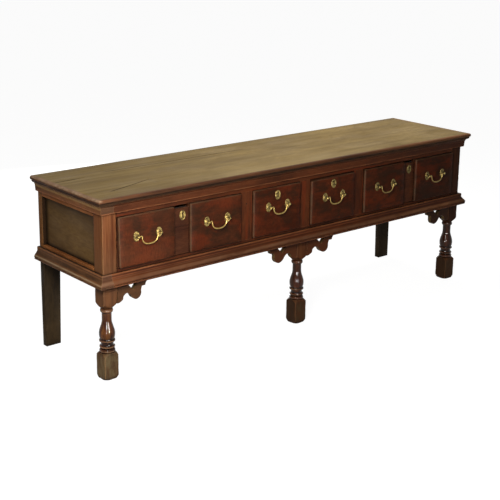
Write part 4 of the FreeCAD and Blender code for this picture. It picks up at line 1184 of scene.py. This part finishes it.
# Bails: cast drop handles, swelling to the middle, with a small crook at each end whose pin turns in
# the ball of its post. Hands keep them brighter than the plates behind them.
bail_pin, bail_rod, bail_swell = 1.9, 2.6, 1.2
bail_sides = 14
bail_bend = 4.2
bail_crook = pi / 4
bail_drop = 36.0
bail_power = 0.8
bail_shoulder = post_spacing / 2 - ball - 0.4
bail_half = bail_shoulder - bail_bend * (1 + 2 * sin(bail_crook))
bail_head = bail_bend * (1 - 2 * cos(bail_crook))


def bail_line():
    """Middle line of the right half of a bail, from its pin down to its lowest point, with radii."""
    line = [(bail_shoulder + 6.0, 0.0, bail_pin), (bail_shoulder + 0.8, 0.0, bail_pin)]
    line += [(bail_shoulder, 0.0, bail_rod)]
    for step in range(1, 5):
        turn = bail_crook * step / 4
        line.append((bail_shoulder - bail_bend * sin(turn), bail_bend * (1 - cos(turn)), bail_rod))
    for step in range(1, 10):
        turn = pi / 2 - bail_crook + (pi / 2 + bail_crook) * step / 9
        across = bail_half + bail_bend * (1 + cos(turn))
        line.append((across, bail_head + bail_bend * sin(turn), bail_rod))
    for step in range(1, 15):
        turn = pi / 2 * step / 14
        radius = bail_rod + bail_swell * sin(turn) ** 2
        across = bail_half * max(0.0, cos(turn)) ** bail_power if step < 14 else 0.0
        line.append((across, bail_head - (bail_drop + bail_head) * sin(turn) ** bail_power, radius))
    return line


bail_number = 0
half_line = bail_line()
whole_line = half_line + [(-x, z, radius) for x, z, radius in reversed(half_line[:-1])]
for number in drawers:
    name, dulled_and_shaded = "handled_brass_%d" % number, 0.93 * brass_shade_by_drawer[number]
    handled_brass = brass(name, 120 + number, dulled_and_shaded, (0.34, 0.48), (130, 102, 56), 5.0)
    for middle in handle_middles[number]:
        bail_number += 1
        rows = []
        for place, (x, z, radius) in enumerate(whole_line):
            before = whole_line[max(place - 1, 0)]
            after = whole_line[min(place + 1, len(whole_line) - 1)]
            heading = Vector((after[0] - before[0], after[1] - before[1])).normalized()
            row = []
            for part in range(bail_sides):
                turn = tau * part / bail_sides
                side = radius * cos(turn)
                row.append((
                    middle + x - heading.y * side,
                    field_face - pivot_standoff + radius * sin(turn),
                    handle_levels[number] + z + heading.x * side,
                ))
            rows.append(row)
        points, faces = [], []
        tube(points, faces, rows)
        piece("drop_handle_%d" % bail_number, points, faces, handled_brass, "bail_%d" % bail_number,
              ("handle_bail_%d" % bail_number,), crease=50)

# Floor and light: a plain white floor, a large soft lamp close by at the front left, a long soft lamp
# overhead for the top, a low one behind for the back, two narrow strips that only show in gloss, as
# the highlights on the turned legs, and a weak even fill all round.
floor_reach = 30.0
floor_grey = (0.16, 0.16, 0.16, 1)
floor_glow = 0.955
fill_strength = 0.05
soft_white = (1.0, 0.98, 0.95)
floor_mesh = bpy.data.meshes.new("floor")
floor_plan = ((-1, -1), (1, -1), (1, 1), (-1, 1))
floor_mesh.from_pydata([(x * floor_reach, y * floor_reach, 0) for x, y in floor_plan], [], [(0, 1, 2, 3)])
floor = bpy.data.objects.new("floor", floor_mesh)
scene.collection.objects.link(floor)


def seen_ray(tree):
    """1 for what the camera sees straight, in gloss or through glass."""
    path = knot(tree, "LightPath", {})
    seen = path.outputs["Is Camera Ray"]
    for ray in ("Is Glossy Ray", "Is Transmission Ray"):
        seen = knot(tree, "Math", {0: seen, 1: path.outputs[ray]}, operation="MAXIMUM").outputs["Value"]
    return seen


white = bpy.data.materials.new("white_floor")
white.use_nodes = True
tree = white.node_tree
tree.nodes.clear()
matt = knot(tree, "BsdfDiffuse", {"Color": floor_grey})
glow = knot(tree, "Emission", {"Color": (1, 1, 1, 1), "Strength": floor_glow})
bright = knot(tree, "AddShader", {0: matt.outputs["BSDF"], 1: glow.outputs["Emission"]})
choice = knot(tree, "MixShader", {0: seen_ray(tree), 1: matt.outputs["BSDF"], 2: bright.outputs["Shader"]})
knot(tree, "OutputMaterial", {"Surface": choice.outputs["Shader"]})
floor.data.materials.append(white)

world = bpy.data.worlds.new("studio")
scene.world = world
world.use_nodes = True
tree = world.node_tree
tree.nodes.clear()
fill = knot(tree, "Background", {"Color": (1.0, 0.97, 0.93, 1), "Strength": fill_strength})
plain = knot(tree, "Background", {"Color": (1, 1, 1, 1), "Strength": 1.0})
sides = {1: fill.outputs["Background"], 2: plain.outputs["Background"]}
sky = knot(tree, "MixShader", {0: seen_ray(tree), **sides})
knot(tree, "OutputWorld", {"Surface": sky.outputs["Shader"]})


def lamp(name, place, aim, width, height, power, tint=soft_white, lights_wood=True):
    """An oblong lamp at a place, turned to where it aims; one that lights no wood only shows in gloss."""
    light = bpy.data.lights.new(name, "AREA")
    light.shape = "RECTANGLE"
    light.size, light.size_y = width, height
    light.energy = power
    light.color = tint
    thing = bpy.data.objects.new(name, light)
    thing.location = place
    thing.rotation_euler = (Vector(aim) - Vector(place)).to_track_quat("-Z", "Y").to_euler()
    thing.visible_camera = False
    thing.visible_diffuse = lights_wood
    scene.collection.objects.link(thing)


lamp("key_lamp", (-1.95, -1.6, 1.55), (-0.75, -0.2, 0.5), 0.6, 0.9, 59.0, (1.0, 0.97, 0.92))
lamp("top_lamp", (0.6, 0.45, 2.5), (0.5, 0.1, 0.8), 2.4, 0.7, 38.0)
lamp("back_lamp", (1.3, 3.2, 0.42), (0.2, 0.2, 0.42), 1.2, 0.6, 34.0)
lamp("front_strip", (-0.95, -3.25, 0.55), (-0.95, -0.2, 0.3), 0.10, 1.0, 200.0, lights_wood=False)
lamp("side_strip", (-2.61, -2.31, 0.55), (-1.0, -0.2, 0.3), 0.08, 1.0, 130.0, lights_wood=False)

# Camera: a long lens from the front left, well above the top. Its place and its turns come from a
# perspective fit of points measured in the photograph.
camera_place = (-3.4917, -3.9865, 1.9619)
camera_turn, camera_drop, camera_roll = 40.115, 14.805, 0.739
camera = bpy.data.cameras.new("camera")
camera.sensor_width = 36.0
camera.lens = 80.852
camera.shift_y = -0.1
view = bpy.data.objects.new("camera", camera)
scene.collection.objects.link(view)
heading = Matrix.Rotation(radians(-camera_turn), 4, "Z")
tilt = Matrix.Rotation(radians(90 - camera_drop), 4, "X")
level_off = Matrix.Rotation(radians(camera_roll), 4, "Z")
view.matrix_world = Matrix.Translation(camera_place) @ heading @ tilt @ level_off
scene.camera = view
scene.view_settings.view_transform = "Standard"
